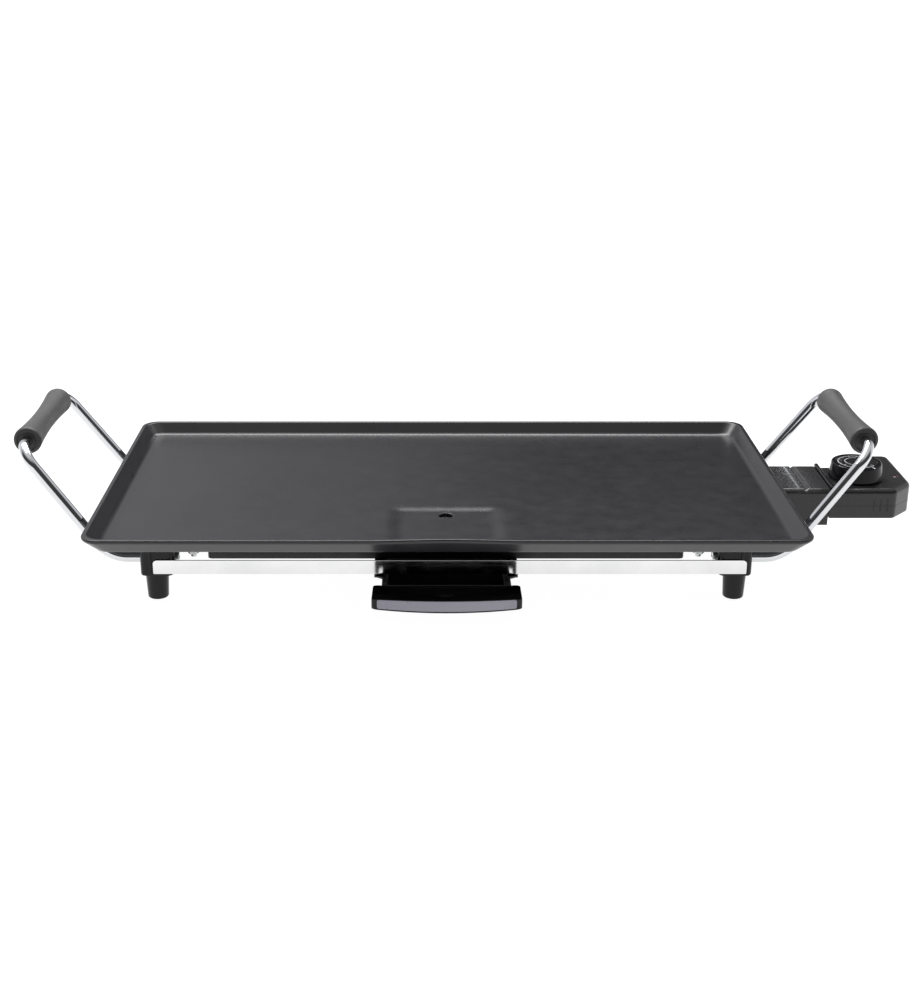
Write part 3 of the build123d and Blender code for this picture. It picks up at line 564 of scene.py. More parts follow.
# --- cooking plate ------------------------------------------------------------------------------
@dataclass
class CookingPlate:
    """Rimmed pan with a drain hole: one sheet wrapped round like a ring through the hole."""

    rim_corner: float = 12.5
    floor_inset: float = 10.0            # rim edge to flat floor
    wall_inset: float = 3.4              # rim edge to the inner wall's top
    slope: float = 9.0                   # outer wall's lean
    band: float = 2.2                    # upright stretch of the rim
    depth: float = 12.0                  # rim top to underside
    floor: float = 3.0
    drain_y: float = -60.0
    drain_radius: float = 5.0
    swell_half: float = 57.0             # half-length of the deeper stretch of front wall
    swell: float = 1.3
    rise: float = 1.0                    # lift of the front rim's middle
    rise_from: float = 122.0             # distance in front of the middle where the lift starts
    dip_y: tuple[float, float] = (-127.0, -44.0)
    dip_half: float = 42.0
    fade: float = 10.0                   # length of the dip's and the lift's soft edges
    lip: float = 0.5                     # chamfer of the drain hole
    flat: float = 30.0                   # flat stretch at both ends of the section's path
    corner_shrink: float = 0.29          # corner radius lost per millimetre inwards
    crowding: float = 1.7                # above 1, floor rings crowd towards the hole
    runs: tuple[int, int] = (110, 60)
    spread: int = 46                     # rings from the drain hole to the wall

    def swelling(self, points: Array) -> Array:
        """How far the surface drops: a soft-edged dip round the drain, deepest over its middle.

        Args:
            points: places about the plate's middle, by X and Y.

        Returns:
            The drop at each place.
        """
        x, y = np.abs(points[..., 0]), points[..., 1]
        across = smooth_step((self.dip_half - x) / self.fade)
        front, rear = self.dip_y
        along = smooth_step((y - front) / self.fade) * smooth_step((rear - y) / self.fade)
        return self.swell * across * along

    def lifting(self, points: Array) -> Array:
        """How far the front rim rises at its middle: a smooth hump along X.

        Args:
            points: places about the plate's middle, by X and Y.

        Returns:
            The rise at each place.
        """
        hump = smooth_step(1 - np.abs(points[..., 0]) / self.swell_half)
        front = smooth_step((-points[..., 1] - self.rise_from) / self.fade)
        return self.rise * hump * front

    def rings(self, middle: Array, half: Array, top: float) -> Array:
        """All rings of the sheet, in order from the hole over the top and back underneath.

        Args:
            middle: centre of the CAD plate's box.
            half: half its size.
            top: height of the rim.

        Returns:
            Array of rings by points by 3.
        """
        under = top - self.depth
        surface = under + self.floor
        section = rounded_path(
            [(self.floor_inset + self.flat, surface), (self.floor_inset, surface),
             (self.wall_inset, top), (0, top), (0, top - self.band),
             (self.slope, under), (self.slope + self.flat, under)],
            [5.0, 1.2, 1.0, 2.5, 3.0], steps=6)[1:-1]
        walls = []
        for depth_in, z in section:
            corner = self.rim_corner - depth_in * self.corner_shrink
            outline = rounded_rectangle(half[0] - depth_in, half[1] - depth_in, corner,
                                        self.runs, 10)
            walls.append(np.column_stack([outline, np.full(len(outline), z)]))
        walls = np.array(walls)
        hole = np.array([0, self.drain_y])
        bearing = unit(walls[0, :, :2] - hole)
        t = np.linspace(0, 1, self.spread + 1)[:-1, None, None] ** self.crowding

        def annulus(edge: Array, z: float) -> Array:
            """Rings from the hole's lip out to a wall ring."""
            start = hole + bearing * (self.drain_radius + self.lip)
            flat = start * (1 - t) + edge[:, :2] * t
            return np.concatenate([flat, np.full((*flat.shape[:2], 1), z)], -1)

        bore = hole + bearing * self.drain_radius
        collar = [np.column_stack([bore, np.full(len(bore), z)])
                  for z in (under + self.lip, surface - self.lip)]
        sheet = np.concatenate([annulus(walls[0], surface), walls,
                                annulus(walls[-1], under)[::-1], np.array(collar)])
        sheet[..., 2] += self.lifting(sheet) * (sheet[..., 2] > top - self.band - 1)
        sheet[..., 2] -= self.swelling(sheet) * (sheet[..., 2] < top - self.band - 1)
        return sheet + np.array([middle[0], middle[1], 0])

    def build(self) -> None:
        """Make the plate in the CAD plate's place."""
        extent = Extent.of("griddle_plate")
        rings = self.rings(extent.middle, extent.half, extent.high[2])
        Shell().add(rings, wrap=True).build("cooking_plate", Look.COATING, "griddle",
                                            ["griddle_plate"], crease=60)


# --- carrying handles ---------------------------------------------------------------------------
@dataclass
class CarryingHandle:
    """Bent bright bar with an hourglass grip, at one end of the griddle."""

    side: int                            # +1 right, -1 left
    bar: float = 4.0
    elbow_reach: float = 35.6            # leg socket to the upward bend
    elbow_radius: float = 27.0
    shoulder_radius: float = 16.0
    top_y: float = 71.5                  # the uprights lean towards the grip
    grip_end: float = 10.0
    grip_waist: float = 8.0
    grip_bulge: float = 1.9              # power of the widening towards both ends
    grip_tip: float = 4.0                # length of each rounded end

    @property
    def word(self) -> str:
        """Which side this handle is on."""
        return "right" if self.side > 0 else "left"

    def build(self) -> None:
        """Make the bar and its grip."""
        rod = Extent.of(f"handle_rod_{self.word}")
        grip = Extent.of(f"handle_grip_{self.word}")
        outer = rod.high[0] - self.bar if self.side > 0 else rod.low[0] + self.bar
        inner = rod.low[0] if self.side > 0 else rod.high[0]
        plane_y = rod.high[1] - self.bar
        low, high = rod.low[2] + self.bar, rod.high[2] - self.bar
        front = [(inner, -plane_y, low), (inner + self.side * self.elbow_reach, -plane_y, low),
                 (outer, -self.top_y, high)]
        corners = front + [(x, -y, z) for x, y, z in front[::-1]]
        path = rounded_path(corners, [self.elbow_radius, self.shoulder_radius,
                                      self.shoulder_radius, self.elbow_radius], 16)
        slope = unit(np.array([outer - corners[1][0], high - low]))
        across = (slope[1], 0.0, -slope[0])
        Shell().add(tube(path, self.bar, across)).build(
            f"handle_bar_{self.word}", Look.CHROME, "griddle", [f"handle_rod_{self.word}"])
        self.build_grip(grip)

    def build_grip(self, grip: Extent) -> None:
        """Turned sleeve: waisted as a power curve, with a dished and ringed end round the bar.

        Args:
            grip: box of the CAD grip.
        """
        end = grip.half[1]
        flank = end - self.grip_tip
        along = np.linspace(-flank, flank, 33)
        widening = (np.abs(along) / flank) ** self.grip_bulge
        waist = self.grip_waist + (self.grip_end - self.grip_waist) * widening
        shoulder = rounded_path([(flank, self.grip_end), (end, self.grip_end),
                                 (end - 0.2, 7.6), (end - 1.6, 7.0), (end - 1.6, 5.6),
                                 (end - 0.9, 5.3), (end - 0.9, self.bar + 0.06)],
                                [2.2, 0.8, 0.5, 0.4, 0.3], 6)
        profile = np.vstack([(shoulder * [-1, 1])[::-1], np.stack([along, waist], 1)[1:-1],
                             shoulder])
        rings = sideways(turned(profile, 56)) + grip.middle
        Shell().add(rings, wrap=True).build(
            f"grip_{self.word}", Look.GRIP, "griddle", [f"handle_grip_{self.word}"])


# --- legs and strips ----------------------------------------------------------------------------
@dataclass
class Leg:
    """Moulded leg: a block under the plate and a tapered round foot."""

    name: str
    block_bottom: float = 19.3
    foot_top: float = 8.4
    foot_tip: float = 7.4
    foot_inboard: float = 10.5           # foot axis from the block's outer face
    corner: float = 4.0
    rib_inboard: float = 7.5             # ribs from the block's outer face
    rib_half: tuple[float, float] = (1.1, 0.9)
    rib_corner: float = 0.6

    def build(self) -> None:
        """Make the leg in its CAD leg's place."""
        extent = Extent.of(self.name)
        side = math.copysign(1, extent.middle[0] - Extent.of("griddle_plate").middle[0])
        middle, half = extent.middle, extent.half
        outline = rounded_rectangle(half[0], half[1], self.corner, (1, 1), 8) + middle[:2]
        low, high = self.block_bottom, extent.high[2]
        block = stacked(outline, [(1.4, low), (0.45, low + 0.4), (0, low + 1.4),
                                  (0, high - 0.5), (0.4, high)])
        foot_x = middle[0] + side * (half[0] - self.foot_inboard)
        profile = rounded_path([(low + 1, self.foot_top), (0, self.foot_tip), (0, 0.01)],
                               [1.4], 6)
        foot = upright(turned(profile, 48)) + [foot_x, middle[1], 0]
        rib_x = middle[0] + side * (half[0] - self.rib_inboard)
        shell = Shell().add(block).add(foot)
        for face in (-1, 1):
            rib = rounded_rectangle(*self.rib_half, self.rib_corner, (1, 1), 4)
            rib += [rib_x, middle[1] + face * (half[1] + 0.05)]
            shell.add(stacked(rib, [(0.3, low + 2), (0, low + 2.6), (0, high - 2), (0.3, high)]))
        shell.build(self.name + "_moulding", Look.LEG, "griddle", [self.name])


@dataclass
class Strip:
    """Bright flat strip across two legs, with its welded studs."""

    word: str                            # front or rear
    thickness: float = 1.2
    corner: float = 3.0
    stud: float = 1.5
    edge: float = 0.3
    nut_half: float = 3.18

    def build(self) -> None:
        """Make the strip: a rounded outline in X and Z with softened edges, laid along Y."""
        extent = Extent.of(f"rail_{self.word}")
        facing = -1 if self.word == "front" else 1
        face = extent.low[1] if facing < 0 else extent.high[1]
        back = face - facing * self.thickness
        half_x, half_z = extent.half[0], extent.half[2]
        outline = rounded_path([(0, -half_z), (half_x, -half_z), (half_x, half_z),
                                (-half_x, half_z), (-half_x, -half_z), (0, -half_z)],
                               [0.8, self.corner, self.corner, 0.8], 6)[:-1]
        edge = self.edge
        rings = stacked(outline, [(edge, 0), (0, edge), (0, self.thickness - edge),
                                  (edge * 0.3, self.thickness - edge * 0.3),
                                  (edge, self.thickness)])
        upright_rings = np.stack([rings[..., 0], back + facing * rings[..., 2],
                                  rings[..., 1] + extent.middle[2]], -1)
        upright_rings[..., 0] += extent.middle[0]
        shell = Shell().add(upright_rings)
        far = extent.high[1] if facing < 0 else extent.low[1]
        nuts = Extent.of("rail_nuts")
        z = nuts.middle[2]
        for x in (nuts.low[0] + self.nut_half, nuts.high[0] - self.nut_half):
            profile = [(back, self.stud), (far + facing * 0.4, self.stud), (far, self.stud - 0.4)]
            shell.add(sideways(turned(np.array(profile), 24)) + [x, 0, z])
        shell.build(f"strip_{self.word}", Look.STRIP, "griddle", [f"rail_{self.word}"])


# --- drip tray ----------------------------------------------------------------------------------
@dataclass
class DripTray:
    """Pressed bowl with side flanges, and its moulded handle with a grey inlay."""

    wall: float = 1.0
    bowl_half: float = 45.0
    bowl_corner: float = 6.0
    base_round: float = 3.0
    flange_front: float = -92.0
    bow: float = 7.0                     # how far the handle's front bulges at its middle
    droop: float = 1.5                   # how much lower its ends are
    narrowing: float = 0.034             # rear against front, as a share of the length
    open_from: float = 44.0              # beyond this reach the handle has no rear wall
    handle_corner: float = 4.5
    rear_corner: float = 2.5
    handle_wall: float = 2.2
    slices: int = 121
    inlay_corner: float = 1.1

    def build(self) -> None:
        """Make the bowl, the handle and its inlay."""
        self.build_bowl()
        self.build_handle()
        self.build_inlay()

    def build_bowl(self) -> None:
        """Rings up the outside, over the flange and down the inside, capped at both floors."""
        extent = Extent.of("drip_tray")
        middle, half = extent.middle, extent.half
        low, top = extent.low[2], extent.high[2]
        thick = self.wall

        def ring(half_x: float, trim: float, corner: float, z: float) -> Array:
            """Rounded rectangle of the bowl's length less a trim, at one height.

            Args:
                half_x: half its size along X.
                trim: taken off both ends along Y.
                corner: corner radius.
                z: height.

            Returns:
                The ring; in front of the flanges it is no wider than the bowl.
            """
            flat = rounded_rectangle(half_x, half[1] - trim, corner, (8, 64), 8) + middle[:2]
            bare = flat[:, 1] < self.flange_front
            reach = np.minimum(np.abs(flat[:, 0] - middle[0]), self.bowl_half + 0.5)
            flat[bare, 0] = middle[0] + np.sign(flat[bare, 0] - middle[0]) * reach[bare]
            return np.column_stack([flat, np.full(len(flat), z)])

        outside, inside = self.bowl_half, self.bowl_half - thick
        bend = quarter_round(self.base_round, 6)
        foot = [ring(outside - trim, trim, self.bowl_corner - trim / 1.2, low + rise)
                for trim, rise in bend]
        flange = [ring(outside, 0.0, self.bowl_corner, top - thick - 0.4),
                  ring(outside + 0.4, 0.0, self.bowl_corner, top - thick),
                  ring(half[0] - 0.2, 0.0, 1.6, top - thick),
                  ring(half[0], 0.0, 1.8, top - thick * 0.75),
                  ring(half[0], 0.0, 1.8, top - thick * 0.25),
                  ring(half[0] - 0.25, 0.2, 1.6, top),
                  ring(inside + 0.8, thick + 0.2, 5.4, top),
                  ring(inside + 0.2, thick + 0.3, 5.0, top - 0.25),
                  ring(inside, thick + 0.4, 5.0, top - 0.9)]
        well = [ring(inside - trim, thick + 0.4 + trim, 5.0 - trim / 1.5, low + thick + rise)
                for trim, rise in bend[::-1]]
        Shell().add(np.array(foot + flange + well)).build(
            "tray_bowl", Look.TRAY, "drip_tray", ["drip_tray"], crease=50)

    def front_line(self, x: Array, half: float, front: float) -> Array:
        """Y of the handle's front at each X: a parabola, furthest out at the middle."""
        return front + self.bow * (x / half) ** 2

    def build_handle(self) -> None:
        """Black handle, hollow below: rings along X of a closed section in Y and Z.

        Towards each end the section shrinks by a quarter circle, which rounds the corners. Its
        top falls from the rear to a crest, rolls over to the front, and dips behind the middle.
        """
        extent = Extent.of("tray_handle")
        middle, half = extent.middle[0], extent.half[0]
        rear, front = extent.high[1], extent.low[1]
        low, top = extent.low[2], extent.high[2]
        corner, wall = self.handle_corner, self.handle_wall
        rings = []
        for x in half * np.sin(np.linspace(-math.pi / 2, math.pi / 2, self.slices)):
            share = (x / half) ** 2
            left = max(corner - (half - abs(x)), 0.0)
            shrink = corner - math.sqrt(max(corner ** 2 - left ** 2, 0.0))
            hollow = smooth_step(half - abs(x) - wall)
            gap = smooth_step(abs(x) - self.open_from)
            face = self.front_line(x, half, front) + 0.55 * shrink
            back = rear - self.rear_corner / corner * shrink
            crown = self.droop * share + 0.25 * shrink
            ceiling = low + 0.3 + hollow * (top - low - 3.3)
            heel = low + gap * hollow * (ceiling - low - 0.2)
            section = rounded_path(
                [(back - wall, heel + 0.1), (back, heel), (back, top - 0.5 - 1.6 * (1 - share)),
                 (back - 0.8 - 5.0 * (1 - share), top),
                 (face + 5.0, top - 0.6 - 0.7 * crown), (face + 1.4, top - 1.3 - crown),
                 (face, top - 1.9 - crown), (face, low + 0.35), (face + 0.5, low),
                 (face + wall, low + 0.1), (face + wall, ceiling), (back - wall, ceiling),
                 (back - wall, heel + 0.1)],
                [0.1, 0.5, 2.0, 3.0, 1.2, 0.5, 0.8, 0.5, 0.1, 0.5 * hollow + 0.05,
                 0.5 * hollow * (1 - gap) + 0.05], 5)[:-1]
            flare = 1 - self.narrowing * (section[:, 0] - front) / (rear - front)
            rings.append(np.column_stack([middle + x * flare, section]))
        Shell().add(np.array(rings)).build("tray_grip", Look.HANDLE, "drip_tray",
                                           ["tray_handle"], crease=50)

    def build_inlay(self) -> None:
        """Grey inlay: a thin bar along the bowed front, lower and rounded at its ends."""
        inlay, handle = Extent.of("tray_handle_insert"), Extent.of("tray_handle")
        reach, half = inlay.half[0], handle.half[0]
        x = reach * np.sin(np.linspace(-math.pi / 2, math.pi / 2, 91))
        left = np.clip(self.inlay_corner - (reach - np.abs(x)), 0, self.inlay_corner)
        trim = self.inlay_corner - np.sqrt(np.maximum(self.inlay_corner ** 2 - left ** 2, 0))
        y = self.front_line(x, half, handle.low[1])
        low, high = inlay.low[2], inlay.high[2] - self.droop * (x / half) ** 2 - 0.2
        section = [(0.8, 0.03), (0.0, 0.03), (-0.16, 0.07), (-0.24, 0.3), (-0.24, 0.7),
                   (-0.16, 0.93), (0.0, 0.97), (0.8, 0.97)]
        rings = np.stack([np.stack([x, y + depth, low + trim + (high - low - 2 * trim) * v], 1)
                          for depth, v in section], 1)
        rings[..., 0] += inlay.middle[0]
        Shell().add(rings).build("tray_inlay", Look.INLAY, "drip_tray",
                                 ["tray_handle_insert"], crease=50)


# --- control ------------------------------------------------------------------------------------
@dataclass
class SocketGuard:
    """Moulded guard between the plate and the plug-in control."""

    groove: tuple[float, float] = (15.9, 19.1)   # from the guard's upper left edge
    wall: float = 2.6
    edge: float = 4.0

    def build(self) -> None:
        """Rings along X: a rounded section, a groove across the top, then back into the mouth."""
        extent = Extent.of("socket_shroud")
        plate = Extent.of("griddle_plate")
        middle, half = extent.middle, extent.half
        left, right = plate.high[0] + 0.5, extent.high[0]
        wide, tall = half[1], half[2]
        outline = rounded_path([(0, -tall), (wide, -tall), (wide, tall), (-wide, tall),
                                (-wide, -tall), (0, -tall)],
                               [0.8, self.edge, self.edge, 0.8], 8)[:-1]

        def ring(x: float, trim: float, drop: float = 0.0) -> Array:
            """Section of the guard at one place along X.

            Args:
                x: the place.
                trim: how far the section is drawn in.
                drop: how far its upper side is pressed down.

            Returns:
                The ring.
            """
            flat = inset(outline, trim)
            height = flat[:, 1] - drop * smooth_step((flat[:, 1] - tall + 3) / 3)
            return np.column_stack([np.full(len(flat), x), flat[:, 0] + middle[1],
                                    height + middle[2]])

        start, stop = (left + g for g in self.groove)
        outside = [ring(left, 0.4), ring(left + 0.4, 0.0), ring(start - 0.3, 0.0),
                   ring(start, 0.0, 0.1), ring(start + 0.5, 0.0, 1.0),
                   ring(start + 1.6, 0.0, 1.1), ring(stop - 0.4, 0.0, 0.15),
                   ring(stop + 0.3, 0.0), ring(right - 0.5, 0.0), ring(right - 0.15, 0.15),
                   ring(right, 0.5)]
        inside = [ring(right, self.wall - 0.3), ring(right - 0.3, self.wall),
                  ring(left + 3.5, self.wall)]
        shell = Shell().add(np.array(outside + inside))
        shell.build("socket_guard", Look.HOUSING, "griddle", ["socket_shroud"])


@dataclass
class Control:
    """Plug-in thermostat: two-part housing, cross rib, lens, gland and knob."""

    chamfer: tuple[float, float] = (16.0, 16.7)  # front outer corner, along X and Y
    front_round: float = 6.0
    outer_round: float = 11.0
    rear_round: float = 6.0
    shoulder: float = 24.5
    flare: tuple[float, float] = (14.0, 26.0)
    edge: float = 3.8                    # rounding of the upper edge
    groove_places: tuple[float, ...] = (32.7, 37.7, 42.7)
    groove_span: tuple[float, float] = (6.2, 16.8)
    groove_half: float = 0.6
    groove_depth: float = 0.55
    rib: tuple[float, float] = (3.0, 27.0)       # thickness and half-width
    rib_rise: float = 2.0
    lens: tuple[float, float] = (2.3, 0.5)       # radius and rise

    def plan(self) -> Array:
        """Plan of the housing, anticlockwise: square front, chamfered corner, wider rear."""
        extent = Extent.of("control_lower_housing")
        left, front = extent.low[0], extent.low[1]
        right, rear = extent.high[0], extent.high[1]
        path = rounded_path(
            [(left, 0), (left, front), (right - self.chamfer[0], front),
             (right, front + self.chamfer[1]), (right, rear), (left + self.flare[1], rear),
             (left + self.flare[0], self.shoulder), (left, self.shoulder), (left, 0)],
            [0.0, self.front_round, self.outer_round, self.rear_round, 3.0, 3.0, 0.0], 9)[:-1]
        return self.grooved(path, left, front)

    def grooved(self, path: Array, left: float, front: float) -> Array:
        """Add extra points along the front edge where the grip grooves will be pressed in.

        Args:
            path: plan of the housing.
            left: its end at the socket.
            front: its front edge.

        Returns:
            The plan with the points added.
        """
        extra = np.concatenate([left + place + self.groove_half * np.linspace(-1.6, 1.6, 9)
                                for place in self.groove_places])
        edge = np.column_stack([extra, np.full(len(extra), front)])
        first = int(np.argmax((path[:, 0] > left + 5) & (path[:, 1] < front + 0.01)))
        return np.vstack([path[:first], edge, path[first:]])

    def pressed(self, rings: Array, low: float) -> Array:
        """Press the upright grooves into the front wall between two heights above its foot.

        Args:
            rings: rings of a housing part.
            low: height of the control's foot.

        Returns:
            The rings with the grooves.
        """
        extent = Extent.of("control_lower_housing")
        left, front = extent.low[0], extent.low[1]
        x, z = rings[..., 0], rings[..., 2] - low
        depth = np.zeros_like(x)
        for place in self.groove_places:
            away = np.abs(x - left - place) / (self.groove_half * 1.6)
            depth = np.maximum(depth, smooth_step(1 - away))
        start, stop = self.groove_span
        tall = smooth_step((z - start) / 0.8) * smooth_step((stop - z) / 0.8)
        rings = rings.copy()
        rings[..., 1] += self.groove_depth * depth * tall * (rings[..., 1] < front + 3)
        return rings

    def build(self) -> None:
        """Make every piece of the control."""
        lower = Extent.of("control_lower_housing")
        plan = self.plan()
        low, seam, top = lower.low[2], lower.high[2], Extent.of("socket_shroud").high[2]
        span = np.linspace(low + 1.2, seam - 0.4, 9)
        base = stacked(plan, [(1.2, low), (0.6, low + 0.15), (0.15, low + 0.6),
                              *[(0.0, z) for z in span], (0.0, seam - 0.12), (0.12, seam - 0.01)])
        Shell().add(self.pressed(base, low)).build(
            "control_base", Look.HOUSING, "control", ["control_lower_housing"])
        span = np.linspace(seam + 0.4, top - self.edge - 0.3, 10)
        bevel = [(inward, top - drop) for drop, inward in quarter_round(self.edge, 8)]
        cover = stacked(plan, [(0.12, seam + 0.01), (0.0, seam + 0.12),
                               *[(0.0, z) for z in span], *bevel])
        Shell().add(self.pressed(cover, low)).build(
            "control_cover", Look.HOUSING, "control", ["control_upper_housing"])
        self.build_rib(lower.low[0], seam, top)
        self.build_lens(top)
        self.build_gland()

    def build_rib(self, left: float, seam: float, top: float) -> None:
        """Raised rib across the control's socket end, on a thin collar.

        Args:
            left: the housing's end at the socket.
            seam: height of the seam between the two housing parts.
            top: height of the housing.
        """
        thick, half = self.rib
        outline = rounded_rectangle(thick / 2, half, thick / 2 - 0.05, (1, 20), 6)
        outline += [left + thick / 2, 0]
        crown = [(inward, top + self.rib_rise - drop) for drop, inward in quarter_round(1.2, 6)]
        rings = stacked(outline, [(0, top - 2.0), (0, top), *crown])
        collar = rounded_rectangle(0.9, half, 0.4, (1, 20), 4) + [left + 0.95, 0]
        height = top - 3.0
        collar_rings = stacked(collar, [(0.0, seam + 0.1), (0.0, height - 2), (0.0, height)])
        Shell().add(rings).add(collar_rings).build("control_rib", Look.KNOB, "control")

    def build_lens(self, top: float) -> None:
        """Low domed lens, set nearly flush.

        Args:
            top: height of the housing.
        """
        extent = Extent.of("indicator_lens")
        radius, rise = self.lens
        angle = np.linspace(0, math.pi / 2, 8)
        dome = [(top - 0.4, radius)] + [(top + rise * math.sin(a), radius * math.cos(a) + 0.02)
                                        for a in angle]
        place = [extent.middle[0], extent.middle[1], 0]
        Shell().add(upright(turned(np.array(dome), 32)) + place).build(
            "control_lens", Look.LENS, "control", ["indicator_lens"])

    def build_gland(self) -> None:
        """Rubber bush with an open hole and a raised band, round the lead's way in."""
        extent = Extent.of("cord_gland")
        low, high, radius = extent.low[1], extent.high[1], extent.half[0]
        ring = rounded_path([(low, 3.3), (low, radius - 0.5), (high - 2.6, radius - 0.5),
                             (high - 2.4, radius), (high, radius), (high, 3.3), (low, 3.3)],
                            [0.0, 0.0, 0.3, 0.9, 0.6], 5)[:-1]
        rings = sideways(turned(ring, 48)) + [extent.middle[0], 0, extent.middle[2]]
        Shell().add(rings, wrap=True).build("lead_bush", Look.GLAND, "control", ["cord_gland"])


@dataclass
class Knob:
    """Fluted knob with a printed scale ring and a pointer."""

    flutes: int = 24
    flute_depth: float = 0.7
    taper: float = 1.7
    dish: float = 15.6                   # radius of the dished top
    ticks: int = 11
    sweep: float = 270.0
    scale_start: float = 50.0            # bearing of the scale's first tick, in degrees
    scale_radius: float = 13.3
    inner_radius: float = 8.4
    line: float = 0.8
    pointer_bearing: float = -60.0
    pointer_reach: float = 17.3

    def build(self) -> None:
        """Make the knob's body, its dial, printed marks and pointer."""
        extent = Extent.of("control_knob")
        radius, low, top = extent.half[0], extent.low[2], extent.high[2]
        x0 = extent.middle[0]
        place = np.array([x0, 0, 0])
        profile = rounded_path(
            [(low, 0.6), (low, radius - 0.2), (low + 1.0, radius), (top, radius - self.taper),
             (top, self.dish), (top - 0.7, self.dish - 0.5), (top - 0.7, 0.6)],
            [0.4, 0.5, 1.3, 0.4, 0.3], 5)
        rings = turned(profile, self.flutes * 12)
        height = rings[..., 0]
        angle = np.arctan2(rings[..., 2], rings[..., 1])
        valley = (0.5 - 0.5 * np.cos(self.flutes * angle)) ** 3
        window = smooth_step((height - low - 1.2) / 1.0) * smooth_step((top - 2.4 - height) / 1.6)
        rim = np.hypot(rings[..., 1], rings[..., 2]) > self.dish + 0.5
        shrink = 1 - self.flute_depth * valley * window * rim / radius
        rings[..., 1] *= shrink
        rings[..., 2] *= shrink
        Shell().add(upright(rings) + place).build("knob_body", Look.KNOB, "knob",
                                                  ["control_knob"], crease=50)
        dial = rounded_path([(top - 0.75, 0.4), (top - 0.75, self.dish - 0.8),
                             (top - 0.45, self.dish - 0.8), (top - 0.3, 9.6),
                             (top - 0.1, 9.2), (top - 0.1, 0.4)], [0.0, 0.15, 0.3, 0.3], 4)
        Shell().add(upright(turned(dial, 96)) + place).build("knob_face", Look.DIAL, "knob",
                                                             ["knob_dial"])
        self.build_marks(place, top)

    @staticmethod
    def arc_bar(radius: float, width: float, start: float, stop: float, low: float,
                high: float, steps: int) -> Array:
        """Rings of a flat curved bar about Z.

        Args:
            radius: inner radius.
            width: width of the bar.
            start: first bearing, in degrees.
            stop: last bearing.
            low: height of its underside.
            high: height of its top.
            steps: how many rings.

        Returns:
            Array of rings by points by 3.
        """
        angle = np.radians(np.linspace(start, stop, steps))[:, None]
        section = np.array([(radius, low), (radius + width, low), (radius + width, high),
                            (radius, high)])
        r, z = section[:, 0][None], section[:, 1][None]
        return np.stack([r * np.cos(angle), r * np.sin(angle), z + 0 * angle], -1)

    def build_marks(self, place: Array, top: float) -> None:
        """Printed scale: two arcs and a row of ticks, plus a raised pointer on the rim.

        Args:
            place: foot of the knob's axis.
            top: height of the knob.
        """
        face = top - 0.34
        marks = Shell()
        first, last = self.scale_start, self.scale_start + self.sweep
        marks.add(self.arc_bar(self.scale_radius, self.line, first, last, face - 0.2,
                               face + 0.02, 80) + place)
        marks.add(self.arc_bar(self.inner_radius, self.line, first + 30, last - 60, top - 0.3,
                               top - 0.06, 60) + place)
        for step in range(self.ticks):
            bearing = first + self.sweep * step / (self.ticks - 1)
            length = 1.8 if step % 2 else 2.6
            half_width = math.degrees(0.2 / 12)
            marks.add(self.arc_bar(self.scale_radius - length, length, bearing - half_width,
                                   bearing + half_width, face - 0.2, face + 0.03, 3) + place)
        marks.build("dial_marks", Look.PRINT, "knob")
        pointer = rounded_rectangle(0.7, 1.5, 0.5, (1, 2), 4)
        rings = stacked(pointer, [(0, top - 0.5), (0, top), (0.25, top + 0.12)])
        turn = math.radians(self.pointer_bearing)
        radial = rings[..., 1] + self.pointer_reach
        lined = np.stack([radial * math.cos(turn) - rings[..., 0] * math.sin(turn),
                          radial * math.sin(turn) + rings[..., 0] * math.cos(turn),
                          rings[..., 2]], -1)
        Shell().add(lined + place).build("knob_pointer", Look.PRINT, "knob")


# --- carried-over CAD pieces --------------------------------------------------------------------
class CadFinishes:
    """Gives each CAD node that stays its finish, by its material slot."""

    def __init__(self) -> None:
        """Look the finishes up by slot."""
        self.by_slot = {look.value.slot: look for look in reversed(Look) if look.value.slot}

    def dress(self) -> None:
        """Put a material on every node that is still shown."""
        for entry in frame["record"]["subparts"]:
            node = frame["nodes"][entry["node"]]
            if node.hide_render:
                continue
            material = PAINTS.material(self.by_slot[entry["material_slot"]])
            for place in node.material_slots:
                place.material = material
            LOG.info("%s keeps its CAD shape, finished as %s", node.name, material.name)


# --- studio -------------------------------------------------------------------------------------
@dataclass(frozen=True)
class Lamp:
    """Rectangular soft light."""

    name: str
    place: tuple[float, float, float]
    size: tuple[float, float]
    watts: float
    aim: tuple[float, float, float] = (0.0, 0.0, 60.0)

    def build(self) -> None:
        """Put the light at its place, turned to its aim."""
        data = bpy.data.lights.new(self.name, "AREA")
        data.shape = "RECTANGLE"
        data.size, data.size_y = self.size[0] * MM, self.size[1] * MM
        data.energy = self.watts
        light = bpy.data.objects.new(self.name, data)
        light.location = np.array(self.place) * MM
        toward = Vector(np.array(self.aim, float) - np.array(self.place, float))
        light.rotation_euler = toward.to_track_quat("-Z", "Y").to_euler()
        bpy.context.scene.collection.objects.link(light)


